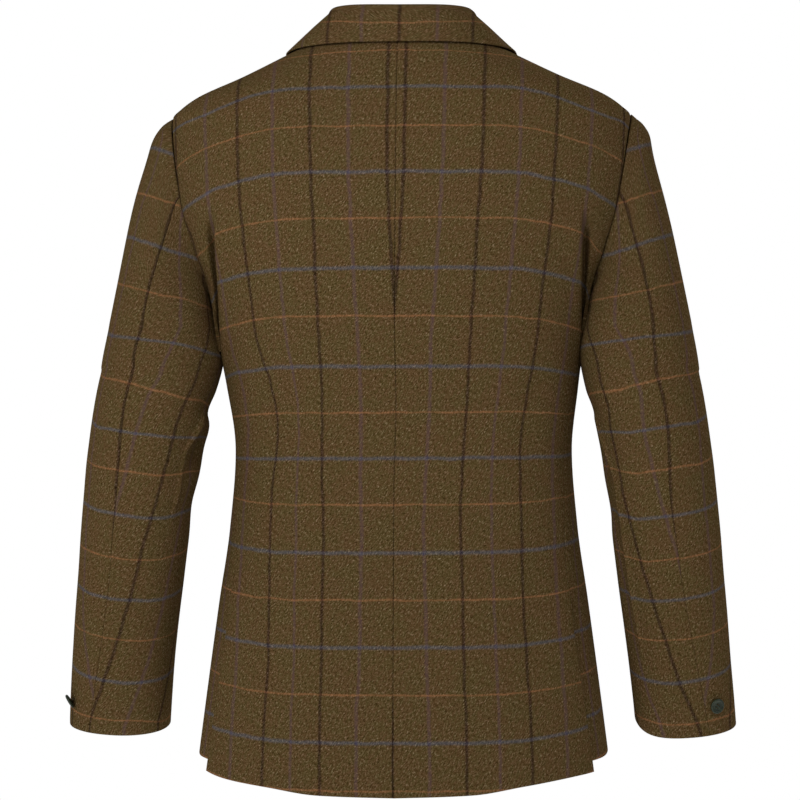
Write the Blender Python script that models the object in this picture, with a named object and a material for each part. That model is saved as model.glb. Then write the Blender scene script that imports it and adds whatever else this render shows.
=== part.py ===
"""Tweed riding jacket in its worn form, hollow, with every cut panel as a thin cloth wall.

Frame in metres: +X is the wearer's left, +Y is behind the wearer, +Z is up. The origin lies at the
base of the neck between the shoulders, where the wearer holds the jacket up.
"""
import math

import bmesh
import bpy
import numpy as np
from mathutils import Vector

# Cloth and seams
CLOTH = 0.0022
SEAM_GAP = 0.0003

# Horizontal sections of the body from hem to neck seam: half width, depth behind and in front of
# the side line, and the power of the rounded oval (2 is an ellipse).
BODY_COLUMNS = ("z", "half_width", "back", "front", "power")
BODY = (
    (-0.725, 0.2075, 0.1270, 0.1280, 2.50),
    (-0.645, 0.1972, 0.1200, 0.1260, 2.50),
    (-0.545, 0.1838, 0.1080, 0.1210, 2.50),
    (-0.470, 0.1732, 0.0950, 0.1165, 2.45),
    (-0.395, 0.1678, 0.0885, 0.1150, 2.45),
    (-0.330, 0.1755, 0.0960, 0.1180, 2.45),
    (-0.285, 0.1828, 0.1040, 0.1215, 2.40),
    (-0.235, 0.1880, 0.1110, 0.1235, 2.35),
    (-0.197, 0.2045, 0.1145, 0.1225, 2.30),
    (-0.150, 0.2235, 0.1145, 0.1170, 2.30),
    (-0.100, 0.2300, 0.1075, 0.1050, 2.25),
    (-0.063, 0.2285, 0.0970, 0.0930, 2.20),
    (-0.055, 0.2210, 0.0945, 0.0900, 2.20),
    (-0.044, 0.2055, 0.0905, 0.0855, 2.20),
    (-0.024, 0.1600, 0.0825, 0.0765, 2.20),
    (-0.005, 0.1205, 0.0740, 0.0670, 2.20),
    (0.014, 0.0820, 0.0620, 0.0550, 2.10),
)
NECK_Z = 0.014
RING_ANGLES = np.radians(np.linspace(-12.0, 205.0, 869))
NORMAL_REACH = 0.0008

# Below the armholes the body hangs a little to the wearer's right
LEAN = -0.003
LEAN_TOP_Z = -0.260
LEAN_FULL_Z = -0.380
LEAN_TURN = 0.0086

# Armhole, an oval in the side view
ARM_TOP_Z = -0.063
ARM_LOW_Z = -0.253
ARM_MID_Y = -0.008
ARM_BACK = 0.056
ARM_FRONT = 0.058
ARM_STEPS = 24
SIDE_BACK_STEP = 9
SIDE_FRONT_STEP = 15

# Side seams below the armhole, as places front to back
SIDE_COLUMNS = ("z", "back_y", "front_y")
SIDE_SEAMS = (
    (-0.725, 0.060, -0.072),
    (-0.525, 0.040, -0.060),
    (-0.395, 0.030, -0.052),
)

# Levels of the cloth rows below the armhole and over the shoulder
VENT_TOP_Z = -0.520
VENT_FULL_Z = -0.545
HEM_LEVEL = -0.700
LOW_LEVELS = (-0.285, -0.315, -0.345, -0.370, -0.395, -0.420, -0.450, -0.485, VENT_TOP_Z,
              VENT_FULL_Z, -0.585, -0.625, -0.657, -0.680, -0.693, HEM_LEVEL)
SHOULDER_LEVELS = (-0.055, -0.044, -0.034, -0.024, -0.014, -0.005, 0.004, NECK_Z)

# Hem heights
HEM_BACK_CENTRE = -0.7195
HEM_BACK_CORNER = -0.7025
HEM_SIDE_BACK = -0.6945
HEM_SIDE_FRONT = -0.6910
HEM_FRONT = -0.7080

# Side vents: the side panel tucks under the back panel
VENT_TUCK = CLOTH + 0.0012
VENT_TUCK_REACH = 0.030
VENT_UNDERLAP = 0.028
VENT_LIFT = 0.0012
VENT_LIFT_FROM_SHARE = 0.6
UNDERLAP_PLACES = (VENT_UNDERLAP, VENT_UNDERLAP / 2)

# Fronts, lapels and neck opening
FRONT_LAP = 0.020
FRONT_LIFT = CLOTH + 0.0010
FRONT_LIFT_FROM = 0.052
FRONT_LIFT_FULL = 0.024
BREAK_Z = -0.272
ROLL_GORGE = (0.0575, -0.014)
ROLL_NECK_X = 0.064
QUARTER_RADIUS = 0.105
QUARTER_REACH = 0.082
FRONT_HEM_SHARE = 0.625
FRONT_COLUMNS = 9

# Columns of the back panel as shares of its width, closer by the armhole
BACK_SHARES = (0.0, 0.15, 0.30, 0.45, 0.59, 0.72, 0.82, 0.89, 0.945, 1.0)

# Lapel, as width from the roll line at places up the lapel
LAPEL_COLUMNS = ("z", "width")
LAPEL = (
    (-0.272, 0.000),
    (-0.225, 0.031),
    (-0.170, 0.055),
    (-0.110, 0.071),
    (-0.066, 0.078),
    (-0.014, 0.086),
)
LAPEL_POINT_Z = -0.066
LAPEL_START = BREAK_Z + 0.008
LAPEL_START_UNDER = -0.2365
LAPEL_CLEAR = 0.0012
LAPEL_ROLL_RISE = 0.0035
LAPEL_ROLL_REACH = 0.012
LAPEL_TUCK_CLEAR = 0.004
LAPEL_GORGE_GAP = 0.0012
LAPEL_ROWS = 13
LAPEL_ACROSS = 7

# Long folds of the back beside the armhole: share of the panel's width, heights, depth inwards
# (less than 0 stands out) and spread as a share
FOLD_COLUMNS = ("share", "z_low", "z_high", "depth", "spread")
BACK_FOLDS = (
    (0.945, -0.330, -0.110, 0.0045, 0.055),
    (0.880, -0.350, -0.090, -0.0030, 0.080),
)

# Sleeve sections from the underarm to the cuff: centre, half width sideways, half depth
SLEEVE_COLUMNS = ("z", "x", "y", "half_width", "half_depth")
SLEEVE = (
    (-0.670, 0.2850, -0.014, 0.0505, 0.0460),
    (-0.645, 0.2829, -0.011, 0.0508, 0.0470),
    (-0.605, 0.2786, -0.003, 0.0512, 0.0485),
    (-0.565, 0.2741, 0.004, 0.0520, 0.0500),
    (-0.525, 0.2693, 0.011, 0.0528, 0.0520),
    (-0.485, 0.2649, 0.017, 0.0537, 0.0540),
    (-0.445, 0.2596, 0.021, 0.0550, 0.0560),
    (-0.405, 0.2541, 0.024, 0.0562, 0.0580),
    (-0.365, 0.2488, 0.024, 0.0559, 0.0600),
    (-0.345, 0.2447, 0.023, 0.0567, 0.0610),
    (-0.325, 0.2391, 0.020, 0.0586, 0.0620),
    (-0.268, 0.2382, 0.008, 0.0524, 0.0640),
)
SLEEVE_TOP_Z = -0.268
SLEEVE_CUFF_Z = -0.670
SLEEVE_POWER = 2.15
SLEEVE_SLANT_REACH = 0.060
SECTION_REACH = 0.001
CAP_ROWS = (0.0, 0.07, 0.16, 0.28, 0.43, 0.62, 0.81)
TUBE_ROWS = 12
CAP_LEAVE = math.radians(42.0)
CAP_START_PULL = 0.48
CAP_END_PULL = 0.70
HEAD_ROLL = 0.0090
HEAD_PLACE = 0.10
HEAD_SPREAD = 0.15
HEAD_RISE_SHARE = 0.083

# Sleeve seams as angles round the sleeve: 0 is outwards, 90 is behind, 180 is inwards
SEAM_COLUMNS = ("z", "hind_angle")
HIND_SEAM = (
    (-0.670, 64.0),
    (-0.620, 70.0),
    (-0.560, 75.0),
    (-0.500, 76.0),
    (-0.440, 73.0),
    (-0.380, 70.0),
    (-0.320, 71.0),
    (-0.268, 75.0),
)
HIND_STEP = 5
FORE_ANGLE = 240.0
FORE_STEP = 16

# Soft folds of the sleeve: height and angle of the middle, half sizes, depth inwards
SLEEVE_FOLD_COLUMNS = ("z", "angle", "half_height", "half_angle", "depth")
SLEEVE_FOLDS = (
    (-0.392, 165.0, 0.030, 38.0, 0.0035),
    (-0.440, 200.0, 0.026, 40.0, 0.0040),
    (-0.505, 300.0, 0.030, 45.0, 0.0035),
)

# Collar stations from centre back to the front end: place along the neck seam, then points on the
# fold, part way down the fall (the notch at the front end) and on the fall's edge.
COLLAR_COLUMNS = ("along", "fold", "mid", "edge")
COLLAR = (
    (0.00, (0.0000, 0.0590, 0.0385), (0.0000, 0.0695, 0.0190), (0.0000, 0.0750, 0.0010)),
    (0.13, (0.0228, 0.0560, 0.0392), (0.0300, 0.0658, 0.0198), (0.0385, 0.0714, 0.0014)),
    (0.26, (0.0440, 0.0470, 0.0405), (0.0590, 0.0550, 0.0210), (0.0735, 0.0578, 0.0018)),
    (0.44, (0.0635, 0.0210, 0.0420), (0.0835, 0.0280, 0.0235), (0.1045, 0.0300, 0.0014)),
    (0.56, (0.0670, -0.0020, 0.0415), (0.0910, -0.0020, 0.0215), (0.1150, 0.0000, 0.0008)),
    (0.76, (0.0640, -0.0400, 0.0265), (0.0915, -0.0440, 0.0110), (0.1180, -0.0440, -0.0088)),
    (1.00, (0.0600, -0.0715, -0.0060), (0.0890, -0.0780, -0.0340), (0.1100, -0.0695, -0.0285)),
)
COLLAR_NECK_STATIONS = 10
COLLAR_FRONT_STATIONS = 4
NECK_PATH_STEPS = 40
SLOPE_PATH_STEPS = 9
COLLAR_FOLD_RADIUS = 0.0045
COLLAR_FOLD_SHARE = 0.45
COLLAR_FOLD_ANGLES = np.radians((180.0, 135.0, 90.0, 45.0))
COLLAR_FALL_STEPS = 4
COLLAR_STAND_STEPS = 2

# Buttons
FRONT_BUTTON_Z = (-0.288, -0.395, -0.502)
FRONT_BUTTON_RADIUS = 0.0105
CUFF_BUTTON_RADIUS = 0.0075
CUFF_BUTTON_Z = -0.648
CUFF_BUTTON_ANGLES = (("left", 6.0), ("right", 50.0))
BUTTON_SIDES = 18
BUTTON_CLEAR = 0.0004
# Turned outline of a button of radius 1: radius and height
BUTTON_OUTLINE = ((0.0, 0.0), (0.86, 0.0), (1.0, 0.14), (1.0, 0.26), (0.88, 0.36),
                  (0.70, 0.30), (0.55, 0.24), (0.0, 0.22))

# Colours of the tweed and the buttons, linear, with roughness
TWEED = (0.085, 0.054, 0.021)
TWEED_ROUGHNESS = 0.95
BUTTON_GREEN = (0.012, 0.016, 0.010)
BUTTON_ROUGHNESS = 0.35
SHARP_EDGE = math.radians(40.0)


def table_values(rows, columns, name):
    """One named column of a table as an array."""
    return np.array([row[columns.index(name)] for row in rows], dtype=float)


def named_rows(rows, columns):
    """Rows of a table as dictionaries by column name."""
    return [dict(zip(columns, row)) for row in rows]


def smooth(x, knots, values):
    """Cubic curve through a column of values, with no overshoot between its rows."""
    step = np.diff(knots)
    slope = np.diff(values) / step
    tangent = np.empty_like(values)
    tangent[0] = slope[0]
    tangent[-1] = slope[-1]
    product = slope[:-1] * slope[1:]
    total = slope[:-1] + slope[1:]
    safe = np.where(product > 0.0, total, 1.0)
    tangent[1:-1] = np.where(product > 0.0, 2.0 * product / safe, 0.0)
    x = np.clip(x, knots[0], knots[-1])
    k = np.clip(np.searchsorted(knots, x, side="right") - 1, 0, len(step) - 1)
    t = (x - knots[k]) / step[k]
    rise = values[k] * (1 + 2 * t) * (1 - t) ** 2 + values[k + 1] * t * t * (3 - 2 * t)
    return rise + step[k] * (tangent[k] * t * (1 - t) ** 2 - tangent[k + 1] * t * t * (1 - t))


def look_up(table, columns, key, name, x):
    """Smooth value of a named column at a place given by the key column."""
    knots = table_values(table, columns, key)
    return smooth(x, knots, table_values(table, columns, name))


def ease(t):
    """Soft step from 0 to 1."""
    t = np.clip(t, 0.0, 1.0)
    return t * t * (3.0 - 2.0 * t)


def unit(v):
    """Vectors of length one."""
    return v / np.linalg.norm(v, axis=-1, keepdims=True)


class BodyRing:
    """One horizontal section of the body, walked from centre back over the left side."""

    def __init__(self, z):
        half = look_up(BODY, BODY_COLUMNS, "z", "half_width", z)
        back = look_up(BODY, BODY_COLUMNS, "z", "back", z)
        front = look_up(BODY, BODY_COLUMNS, "z", "front", z)
        power = 2.0 / look_up(BODY, BODY_COLUMNS, "z", "power", z)
        sine = np.sin(RING_ANGLES)
        cosine = np.cos(RING_ANGLES)
        depth = np.where(cosine > 0.0, back, front)
        self.z = z
        self.x = half * np.sign(sine) * np.abs(sine) ** power
        self.y = depth * np.sign(cosine) * np.abs(cosine) ** power
        walk = np.concatenate(([0.0], np.cumsum(np.hypot(np.diff(self.x), np.diff(self.y)))))
        self.walk = walk - np.interp(0.0, RING_ANGLES, walk)
        self.left = (RING_ANGLES >= 0.0) & (RING_ANGLES <= math.pi)
        self.ahead = RING_ANGLES >= math.pi / 2

    def point(self, walk):
        """Points at distances from the centre back."""
        x = np.interp(walk, self.walk, self.x)
        y = np.interp(walk, self.walk, self.y)
        return np.stack([x, y, np.full_like(x, self.z)], axis=-1)

    def walk_to_y(self, y):
        """Distance from the centre back to a place front to back, on the left side."""
        return np.interp(-y, -self.y[self.left], self.walk[self.left])

    def walk_to_front_x(self, x):
        """Distance from the centre back to a place across the front."""
        return np.interp(-x, -self.x[self.ahead], self.walk[self.ahead])


def body_normal(z, walk):
    """Outward direction of the body form."""
    here = BodyRing(z)
    along = here.point(walk + NORMAL_REACH) - here.point(walk - NORMAL_REACH)
    share = walk / here.walk[-1]
    over = BodyRing(z + NORMAL_REACH)
    under = BodyRing(z - NORMAL_REACH)
    up = over.point(share * over.walk[-1]) - under.point(share * under.walk[-1])
    return unit(np.cross(up, along))


def fold_depth(share, z):
    """Depth inwards of the long folds of the back panel."""
    depth = np.zeros_like(z)
    for fold in named_rows(BACK_FOLDS, FOLD_COLUMNS):
        height = (z - fold["z_low"]) / (fold["z_high"] - fold["z_low"])
        rise = np.sin(math.pi * np.clip(height, 0.0, 1.0)) ** 2
        depth += fold["depth"] * rise * np.exp(-((share - fold["share"]) / fold["spread"]) ** 2)
    return depth


def arm_level(step):
    """Height of a step round the armhole; step 0 is the shoulder tip."""
    middle = (ARM_TOP_Z + ARM_LOW_Z) / 2
    half = (ARM_TOP_Z - ARM_LOW_Z) / 2
    return middle + half * math.cos(2 * math.pi * step / ARM_STEPS)


def arm_y(step):
    """Place front to back of a step round the armhole, which runs down behind first."""
    sine = math.sin(2 * math.pi * step / ARM_STEPS)
    return ARM_MID_Y + (ARM_BACK if sine > 0.0 else ARM_FRONT) * sine


def side_seam_y(z, name, top_step):
    """Place front to back of a side seam."""
    top_row = (arm_level(top_step), arm_y(top_step), arm_y(top_step))
    return look_up(SIDE_SEAMS + (top_row,), SIDE_COLUMNS, "z", name, z)


def body_levels():
    """Cloth rows as (height, armhole step or None), from the hem up to the neck."""
    rows = [(z, None) for z in reversed(LOW_LEVELS)]
    rows += [(arm_level(step), step) for step in range(ARM_STEPS // 2, -1, -1)]
    rows += [(z, None) for z in SHOULDER_LEVELS]
    return rows


def outer_edge_y(z, step, name, top_step, mirror):
    """Edge of a front or back panel away from its centre: side seam, armhole, shoulder seam."""
    if z > ARM_TOP_Z:
        return ARM_MID_Y
    if step is not None and step <= SIDE_BACK_STEP:
        return arm_y(mirror * step)
    return side_seam_y(z, name, top_step)


def stretch_to_hem(z, hem):
    """Rows below the vent top spread out to the local hem."""
    share = np.clip((VENT_TOP_Z - z) / (VENT_TOP_Z - HEM_LEVEL), 0.0, None)
    return np.where(z < VENT_TOP_Z, VENT_TOP_Z + share * (hem - VENT_TOP_Z), z)


def body_points(z_row, walks, lift):
    """Outer and inner points of a row of body cloth."""
    outer = []
    inner = []
    for z, walk, rise in zip(z_row, walks, lift):
        normal = body_normal(z, np.array([walk]))[0]
        point = BodyRing(z).point(np.array([walk]))[0]
        point = point + normal * rise
        outer.append(point)
        inner.append(point - normal * CLOTH)
    return outer, inner


def back_panel():
    """Left back panel from the centre seam to the side vent, armhole and shoulder."""
    outer = []
    inner = []
    for level, step in body_levels():
        share = np.array(BACK_SHARES)
        hem = HEM_BACK_CENTRE + (HEM_BACK_CORNER - HEM_BACK_CENTRE) * share ** 2
        z_row = stretch_to_hem(np.full(len(share), level), hem)
        edge_y = [outer_edge_y(z, step, "back_y", SIDE_BACK_STEP, 1) for z in z_row]
        ends = [BodyRing(z).walk_to_y(y) - SEAM_GAP / 2 for z, y in zip(z_row, edge_y)]
        walks = SEAM_GAP / 2 + (np.array(ends) - SEAM_GAP / 2) * share
        open_vent = ease((VENT_TOP_Z - z_row) / (VENT_TOP_Z - VENT_FULL_Z))
        vent_side = ease((share - VENT_LIFT_FROM_SHARE) / (1.0 - VENT_LIFT_FROM_SHARE))
        lift = VENT_LIFT * open_vent * vent_side - fold_depth(share, z_row)
        row_outer, row_inner = body_points(z_row, walks, lift)
        outer.append(row_outer)
        inner.append(row_inner)
    return np.array(outer), np.array(inner)


def roll_x(z):
    """Roll line of the lapel, from the break up to the neck."""
    top_x, top_z = ROLL_GORGE
    lower = -FRONT_LAP + (top_x + FRONT_LAP) * (z - BREAK_Z) / (top_z - BREAK_Z)
    upper = top_x + (ROLL_NECK_X - top_x) * (z - top_z) / (NECK_Z - top_z)
    return np.where(z < top_z, lower, upper)


def front_edge_x(z):
    """Inner edge of the front: rounded quarter, overlap, then the roll line."""
    if z > BREAK_Z:
        return float(roll_x(z))
    drop = np.clip((HEM_FRONT + QUARTER_RADIUS - z) / QUARTER_RADIUS, 0.0, 1.0)
    return -FRONT_LAP + QUARTER_REACH * (1.0 - math.sqrt(1.0 - drop * drop))


def front_panel(overlaps):
    """Left front; the one that overlaps is lifted clear of the other."""
    outer = []
    inner = []
    for level, step in body_levels():
        share = np.linspace(0.0, 1.0, FRONT_COLUMNS)
        hem = HEM_SIDE_FRONT + (HEM_FRONT - HEM_SIDE_FRONT) * ease(share / FRONT_HEM_SHARE)
        z_row = stretch_to_hem(np.full(FRONT_COLUMNS, level), hem)
        z_edge = z_row[-1]
        edge_y = outer_edge_y(z_row[0], step, "front_y", SIDE_FRONT_STEP, -1)
        start = BodyRing(z_row[0]).walk_to_y(edge_y) + SEAM_GAP / 2
        end = BodyRing(z_edge).walk_to_front_x(front_edge_x(z_edge))
        walks = start + (end - start) * share
        lift = np.zeros(FRONT_COLUMNS)
        if overlaps:
            x = np.array([BodyRing(z).point(np.array([w]))[0, 0] for z, w in zip(z_row, walks)])
            near = (FRONT_LIFT_FROM - x) / (FRONT_LIFT_FROM - FRONT_LIFT_FULL)
            lift = FRONT_LIFT * ease(near) * (x < FRONT_LIFT_FROM)
        row_outer, row_inner = body_points(z_row, walks, lift)
        outer.append(row_outer)
        inner.append(row_inner)
    return np.array(outer), np.array(inner)


def side_place(level, step):
    """Height, distance from centre back and lift of one point of the side panel."""
    first = SIDE_BACK_STEP
    last = SIDE_FRONT_STEP
    top_level = arm_level(first)
    share = (step - first) / (last - first)
    hem = HEM_SIDE_BACK + (HEM_SIDE_FRONT - HEM_SIDE_BACK) * share
    z = float(stretch_to_hem(np.array(level), hem))
    near_arm = ease((z - VENT_TOP_Z) / (top_level - VENT_TOP_Z))
    z += (arm_level(step) - top_level) * near_arm
    ring = BodyRing(z)
    back = ring.walk_to_y(side_seam_y(z, "back_y", first)) + SEAM_GAP / 2
    front = ring.walk_to_y(side_seam_y(z, "front_y", last)) - SEAM_GAP / 2
    top_share = (arm_y(step) - arm_y(first)) / (arm_y(last) - arm_y(first))
    walk = back + (front - back) * (share + (top_share - share) * near_arm)
    tucked = ease((VENT_TOP_Z - z) / (VENT_TOP_Z - VENT_FULL_Z))
    return z, walk, -VENT_TUCK * tucked * (1.0 - ease((walk - back) / VENT_TUCK_REACH))


def side_levels():
    """Rows of the side panel from the hem to the armhole."""
    top_level = arm_level(SIDE_BACK_STEP)
    return [z for z, step in body_levels() if step is None and z < top_level] + [
        arm_level(step) for step in range(ARM_STEPS // 2, SIDE_BACK_STEP - 1, -1)]


def side_panel():
    """Left side panel with the underlap of its vent; returns points and a mask of its cells."""
    outer = []
    inner = []
    cells = []
    for level in side_levels():
        places = [side_place(level, step) for step in range(SIDE_BACK_STEP, SIDE_FRONT_STEP + 1)]
        z, walk, lift = places[0]
        lap = [(z, walk - reach, lift) for reach in UNDERLAP_PLACES]
        row_outer, row_inner = body_points(*zip(*(lap + places)))
        outer.append(row_outer)
        inner.append(row_inner)
        cells.append([level <= VENT_FULL_Z] * len(lap) + [True] * (len(places) - 1))
    return np.array(outer), np.array(inner), np.array(cells[1:])


def sleeve_section(z):
    """Centre, sideways and backward directions and half sizes of a sleeve section."""
    centre = np.array([look_up(SLEEVE, SLEEVE_COLUMNS, "z", "x", z),
                       look_up(SLEEVE, SLEEVE_COLUMNS, "z", "y", z), z])
    higher = min(z + SECTION_REACH, SLEEVE_TOP_Z)
    lower = max(z - SECTION_REACH, SLEEVE_CUFF_Z)
    down = np.array([look_up(SLEEVE, SLEEVE_COLUMNS, "z", name, lower)
                     - look_up(SLEEVE, SLEEVE_COLUMNS, "z", name, higher) for name in ("x", "y")]
                    + [lower - higher])
    level_out = ease((SLEEVE_TOP_Z - z) / SLEEVE_SLANT_REACH)
    down = unit(down * np.array([level_out, level_out, 1.0]))
    behind = np.array([0.0, 1.0, 0.0])
    behind = unit(behind - down * down[1])
    sideways = np.cross(down, behind)
    half_width = look_up(SLEEVE, SLEEVE_COLUMNS, "z", "half_width", z)
    half_depth = look_up(SLEEVE, SLEEVE_COLUMNS, "z", "half_depth", z)
    return centre, sideways, behind, half_width, half_depth


def tube_point(z, angle):
    """Point of the sleeve below the underarm, at an angle in degrees round it."""
    centre, sideways, behind, half_width, half_depth = sleeve_section(z)
    cosine = math.cos(math.radians(angle))
    sine = math.sin(math.radians(angle))
    power = 2.0 / SLEEVE_POWER
    shrink = 1.0
    for fold in named_rows(SLEEVE_FOLDS, SLEEVE_FOLD_COLUMNS):
        turn = (angle - fold["angle"] + 180.0) % 360.0 - 180.0
        up = (z - fold["z"]) / fold["half_height"]
        near = math.exp(-up ** 2 - (turn / fold["half_angle"]) ** 2)
        shrink -= fold["depth"] / half_width * near
    out = half_width * math.copysign(abs(cosine) ** power, cosine)
    back = half_depth * math.copysign(abs(sine) ** power, sine)
    return centre + (sideways * out + behind * back) * shrink


def arm_edge(step):
    """Point on the armhole, the body's outward direction and the way on into the hole."""
    turn = 0.02
    points = []
    for place in (step - turn, step, step + turn):
        ring = BodyRing(arm_level(place))
        walk = ring.walk_to_y(np.array([arm_y(place)]))
        points.append((ring.point(walk)[0], walk))
    normal = body_normal(arm_level(step), points[1][1])[0]
    along = unit(points[2][0] - points[0][0])
    return points[1][0], normal, np.cross(along, normal)


def cap_point(step, angle, t):
    """Point of the sleeve head between the armhole and the underarm section."""
    edge, normal, onward = arm_edge(step)
    leave = normal * math.cos(CAP_LEAVE) + onward * math.sin(CAP_LEAVE)
    start = edge + (normal + onward) * SEAM_GAP
    end = tube_point(SLEEVE_TOP_Z, angle)
    down = unit(tube_point(SLEEVE_TOP_Z - 2 * SECTION_REACH, angle) - end)
    length = np.linalg.norm(end - start)
    pull = leave * length * CAP_START_PULL
    push = down * length * CAP_END_PULL
    curve = (start * (2 * t ** 3 - 3 * t ** 2 + 1) + pull * (t ** 3 - 2 * t ** 2 + t)
             + end * (3 * t ** 2 - 2 * t ** 3) + push * (t ** 3 - t ** 2))
    return curve + unit(normal + onward) * head_roll(angle, t)


def head_roll(angle, t):
    """Fullness of the sleeve head beside the shoulder tip."""
    near_top = (0.5 + 0.5 * math.cos(math.radians(angle))) ** 2
    along = math.exp(-((t - HEAD_PLACE) / HEAD_SPREAD) ** 2)
    return HEAD_ROLL * near_top * along * float(ease(t / HEAD_RISE_SHARE))


def sleeve_angles(z):
    """Angles of the sleeve's columns from the front seam over the top to the front seam again."""
    hind = float(look_up(HIND_SEAM, SEAM_COLUMNS, "z", "hind_angle", z))
    top_steps = HIND_STEP - FORE_STEP + ARM_STEPS
    over = np.linspace(FORE_ANGLE - 360.0, hind, top_steps + 1)
    under = np.linspace(hind, FORE_ANGLE, ARM_STEPS - top_steps + 1)
    return np.concatenate((over, under[1:]))


def sleeve_grid():
    """Rows of the whole left sleeve from the armhole to the cuff."""
    steps = range(FORE_STEP - ARM_STEPS, FORE_STEP + 1)
    rows = [[cap_point(step, 360.0 * step / ARM_STEPS, t) for step in steps] for t in CAP_ROWS]
    for z in np.linspace(SLEEVE_TOP_Z, SLEEVE_CUFF_Z, TUBE_ROWS + 1):
        rows.append([tube_point(z, angle) for angle in sleeve_angles(z)])
    return np.array(rows)


def grid_normals(grid):
    """Directions at right angles to a grid of points."""
    return unit(np.cross(np.gradient(grid, axis=1), np.gradient(grid, axis=0)))


def sleeve_walls():
    """Outer and inner points of the left top sleeve and under sleeve."""
    grid = sleeve_grid()
    ring = np.concatenate((grid[:, -2:-1], grid, grid[:, 1:2]), axis=1)
    normals = grid_normals(ring)[:, 1:-1]
    if np.sum(normals * (grid - grid.mean(axis=1, keepdims=True))) < 0.0:
        normals = -normals
    inner = grid - normals * CLOTH
    hind = HIND_STEP - FORE_STEP + ARM_STEPS
    top = slice(0, hind + 1)
    under = slice(hind, ARM_STEPS + 1)
    return [(trim_columns(grid[:, part]), trim_columns(inner[:, part])) for part in (top, under)]


def trim_columns(grid):
    """Move the two end columns of a grid inwards by half a seam gap."""
    trimmed = grid.copy()
    trimmed[:, 0] += unit(grid[:, 1] - grid[:, 0]) * SEAM_GAP / 2
    trimmed[:, -1] += unit(grid[:, -2] - grid[:, -1]) * SEAM_GAP / 2
    return trimmed


def neck_path():
    """Foot of the collar from centre back to the gorge: places along, points and the neck corner."""
    ring = BodyRing(NECK_Z)
    end = ring.walk_to_front_x(ROLL_NECK_X)
    around = np.linspace(0.0, end, NECK_PATH_STEPS)
    slope = np.linspace(NECK_Z, ROLL_GORGE[1], SLOPE_PATH_STEPS)[1:]
    path = [(NECK_Z, walk) for walk in around]
    path += [(z, float(BodyRing(z).walk_to_front_x(float(roll_x(z))))) for z in slope]
    edge = np.array([BodyRing(z).point(np.array([walk]))[0] for z, walk in path])
    normal = np.array([body_normal(z, np.array([walk]))[0] for z, walk in path])
    onward = np.cross(unit(np.gradient(edge, axis=0)), normal)
    foot = edge - normal * CLOTH / 2 + onward * (CLOTH / 2 + SEAM_GAP)
    length = np.concatenate(([0.0], np.cumsum(np.linalg.norm(np.diff(edge, axis=0), axis=1))))
    share = length / length[-1]
    return share, foot, share[NECK_PATH_STEPS - 1]


def neck_seam(share):
    """Point on the foot of the collar."""
    along, foot, _ = neck_path()
    return np.array([np.interp(share, along, foot[:, k]) for k in range(3)])


def collar_shares():
    """Places of the collar's stations, one of them at the corner of the neck."""
    _, _, corner = neck_path()
    around = np.linspace(0.0, corner, COLLAR_NECK_STATIONS)
    front = np.linspace(corner, 1.0, COLLAR_FRONT_STATIONS)
    return np.concatenate((around, front[1:]))


def collar_point(name, share):
    """Smooth point along one of the collar's lines."""
    along = table_values(COLLAR, COLLAR_COLUMNS, "along")
    points = np.array([row[COLLAR_COLUMNS.index(name)] for row in COLLAR])
    return np.array([smooth(share, along, points[:, k]) for k in range(3)])


def collar_section(share):
    """Stand, fold and fall of the collar as a line of points on the middle of the cloth."""
    seam = neck_seam(share)
    fold = collar_point("fold", share)
    mid = collar_point("mid", share)
    edge = collar_point("edge", share)
    out = unit((mid - fold) * np.array([1.0, 1.0, 0.0]))
    radius = min(COLLAR_FOLD_RADIUS, COLLAR_FOLD_SHARE * float(np.linalg.norm(fold - seam)))
    middle = fold - np.array([0.0, 0.0, radius])
    points = [seam + (middle - out * radius - seam) * k / COLLAR_STAND_STEPS
              for k in range(COLLAR_STAND_STEPS)]
    for turn in COLLAR_FOLD_ANGLES:
        points.append(middle + out * radius * math.cos(turn)
                      + np.array([0.0, 0.0, radius * math.sin(turn)]))
    start = middle + out * radius
    for k in range(COLLAR_FALL_STEPS + 1):
        t = k / COLLAR_FALL_STEPS
        if t <= 0.5:
            points.append(start + (mid - start) * t * 2.0)
        else:
            points.append(mid + (edge - mid) * (t * 2.0 - 1.0))
    return points


def collar_wall():
    """Outer and inner points of the whole collar, right end to left end."""
    half = [collar_section(share) for share in collar_shares()]
    flip = np.array([-1.0, 1.0, 1.0])
    grid = np.array([np.array(row) * flip for row in reversed(half[1:])]
                    + [np.array(row) for row in half])
    normals = grid_normals(grid)
    if normals[len(half) - 1, -2, 1] < 0.0:
        normals = -normals
    return grid + normals * CLOTH / 2, grid - normals * CLOTH / 2


def lapel_place(share, along, under):
    """Outer and inner point of the left lapel, across from the roll line and up along it."""
    gorge_z = ROLL_GORGE[1]
    top = gorge_z - LAPEL_GORGE_GAP + (LAPEL_POINT_Z - gorge_z) * share
    bottom = LAPEL_START_UNDER if under else LAPEL_START
    z = bottom + (top - bottom) * along
    roll = float(roll_x(z))
    width = float(look_up(LAPEL, LAPEL_COLUMNS, "z", "width", z))
    inside = max(roll, LAPEL_TUCK_CLEAR - roll) if under else roll
    x = inside + (roll + width - inside) * share
    ring = BodyRing(z)
    walk = np.array([ring.walk_to_front_x(x)])
    normal = body_normal(z, walk)[0]
    rise = LAPEL_CLEAR + LAPEL_ROLL_RISE * math.exp(-(x - roll) / LAPEL_ROLL_REACH)
    if not under:
        near = (FRONT_LIFT_FROM - x) / (FRONT_LIFT_FROM - FRONT_LIFT_FULL)
        rise += FRONT_LIFT * float(ease(near))
    base = ring.point(walk)[0] + normal * rise
    return base + normal * CLOTH, base


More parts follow.
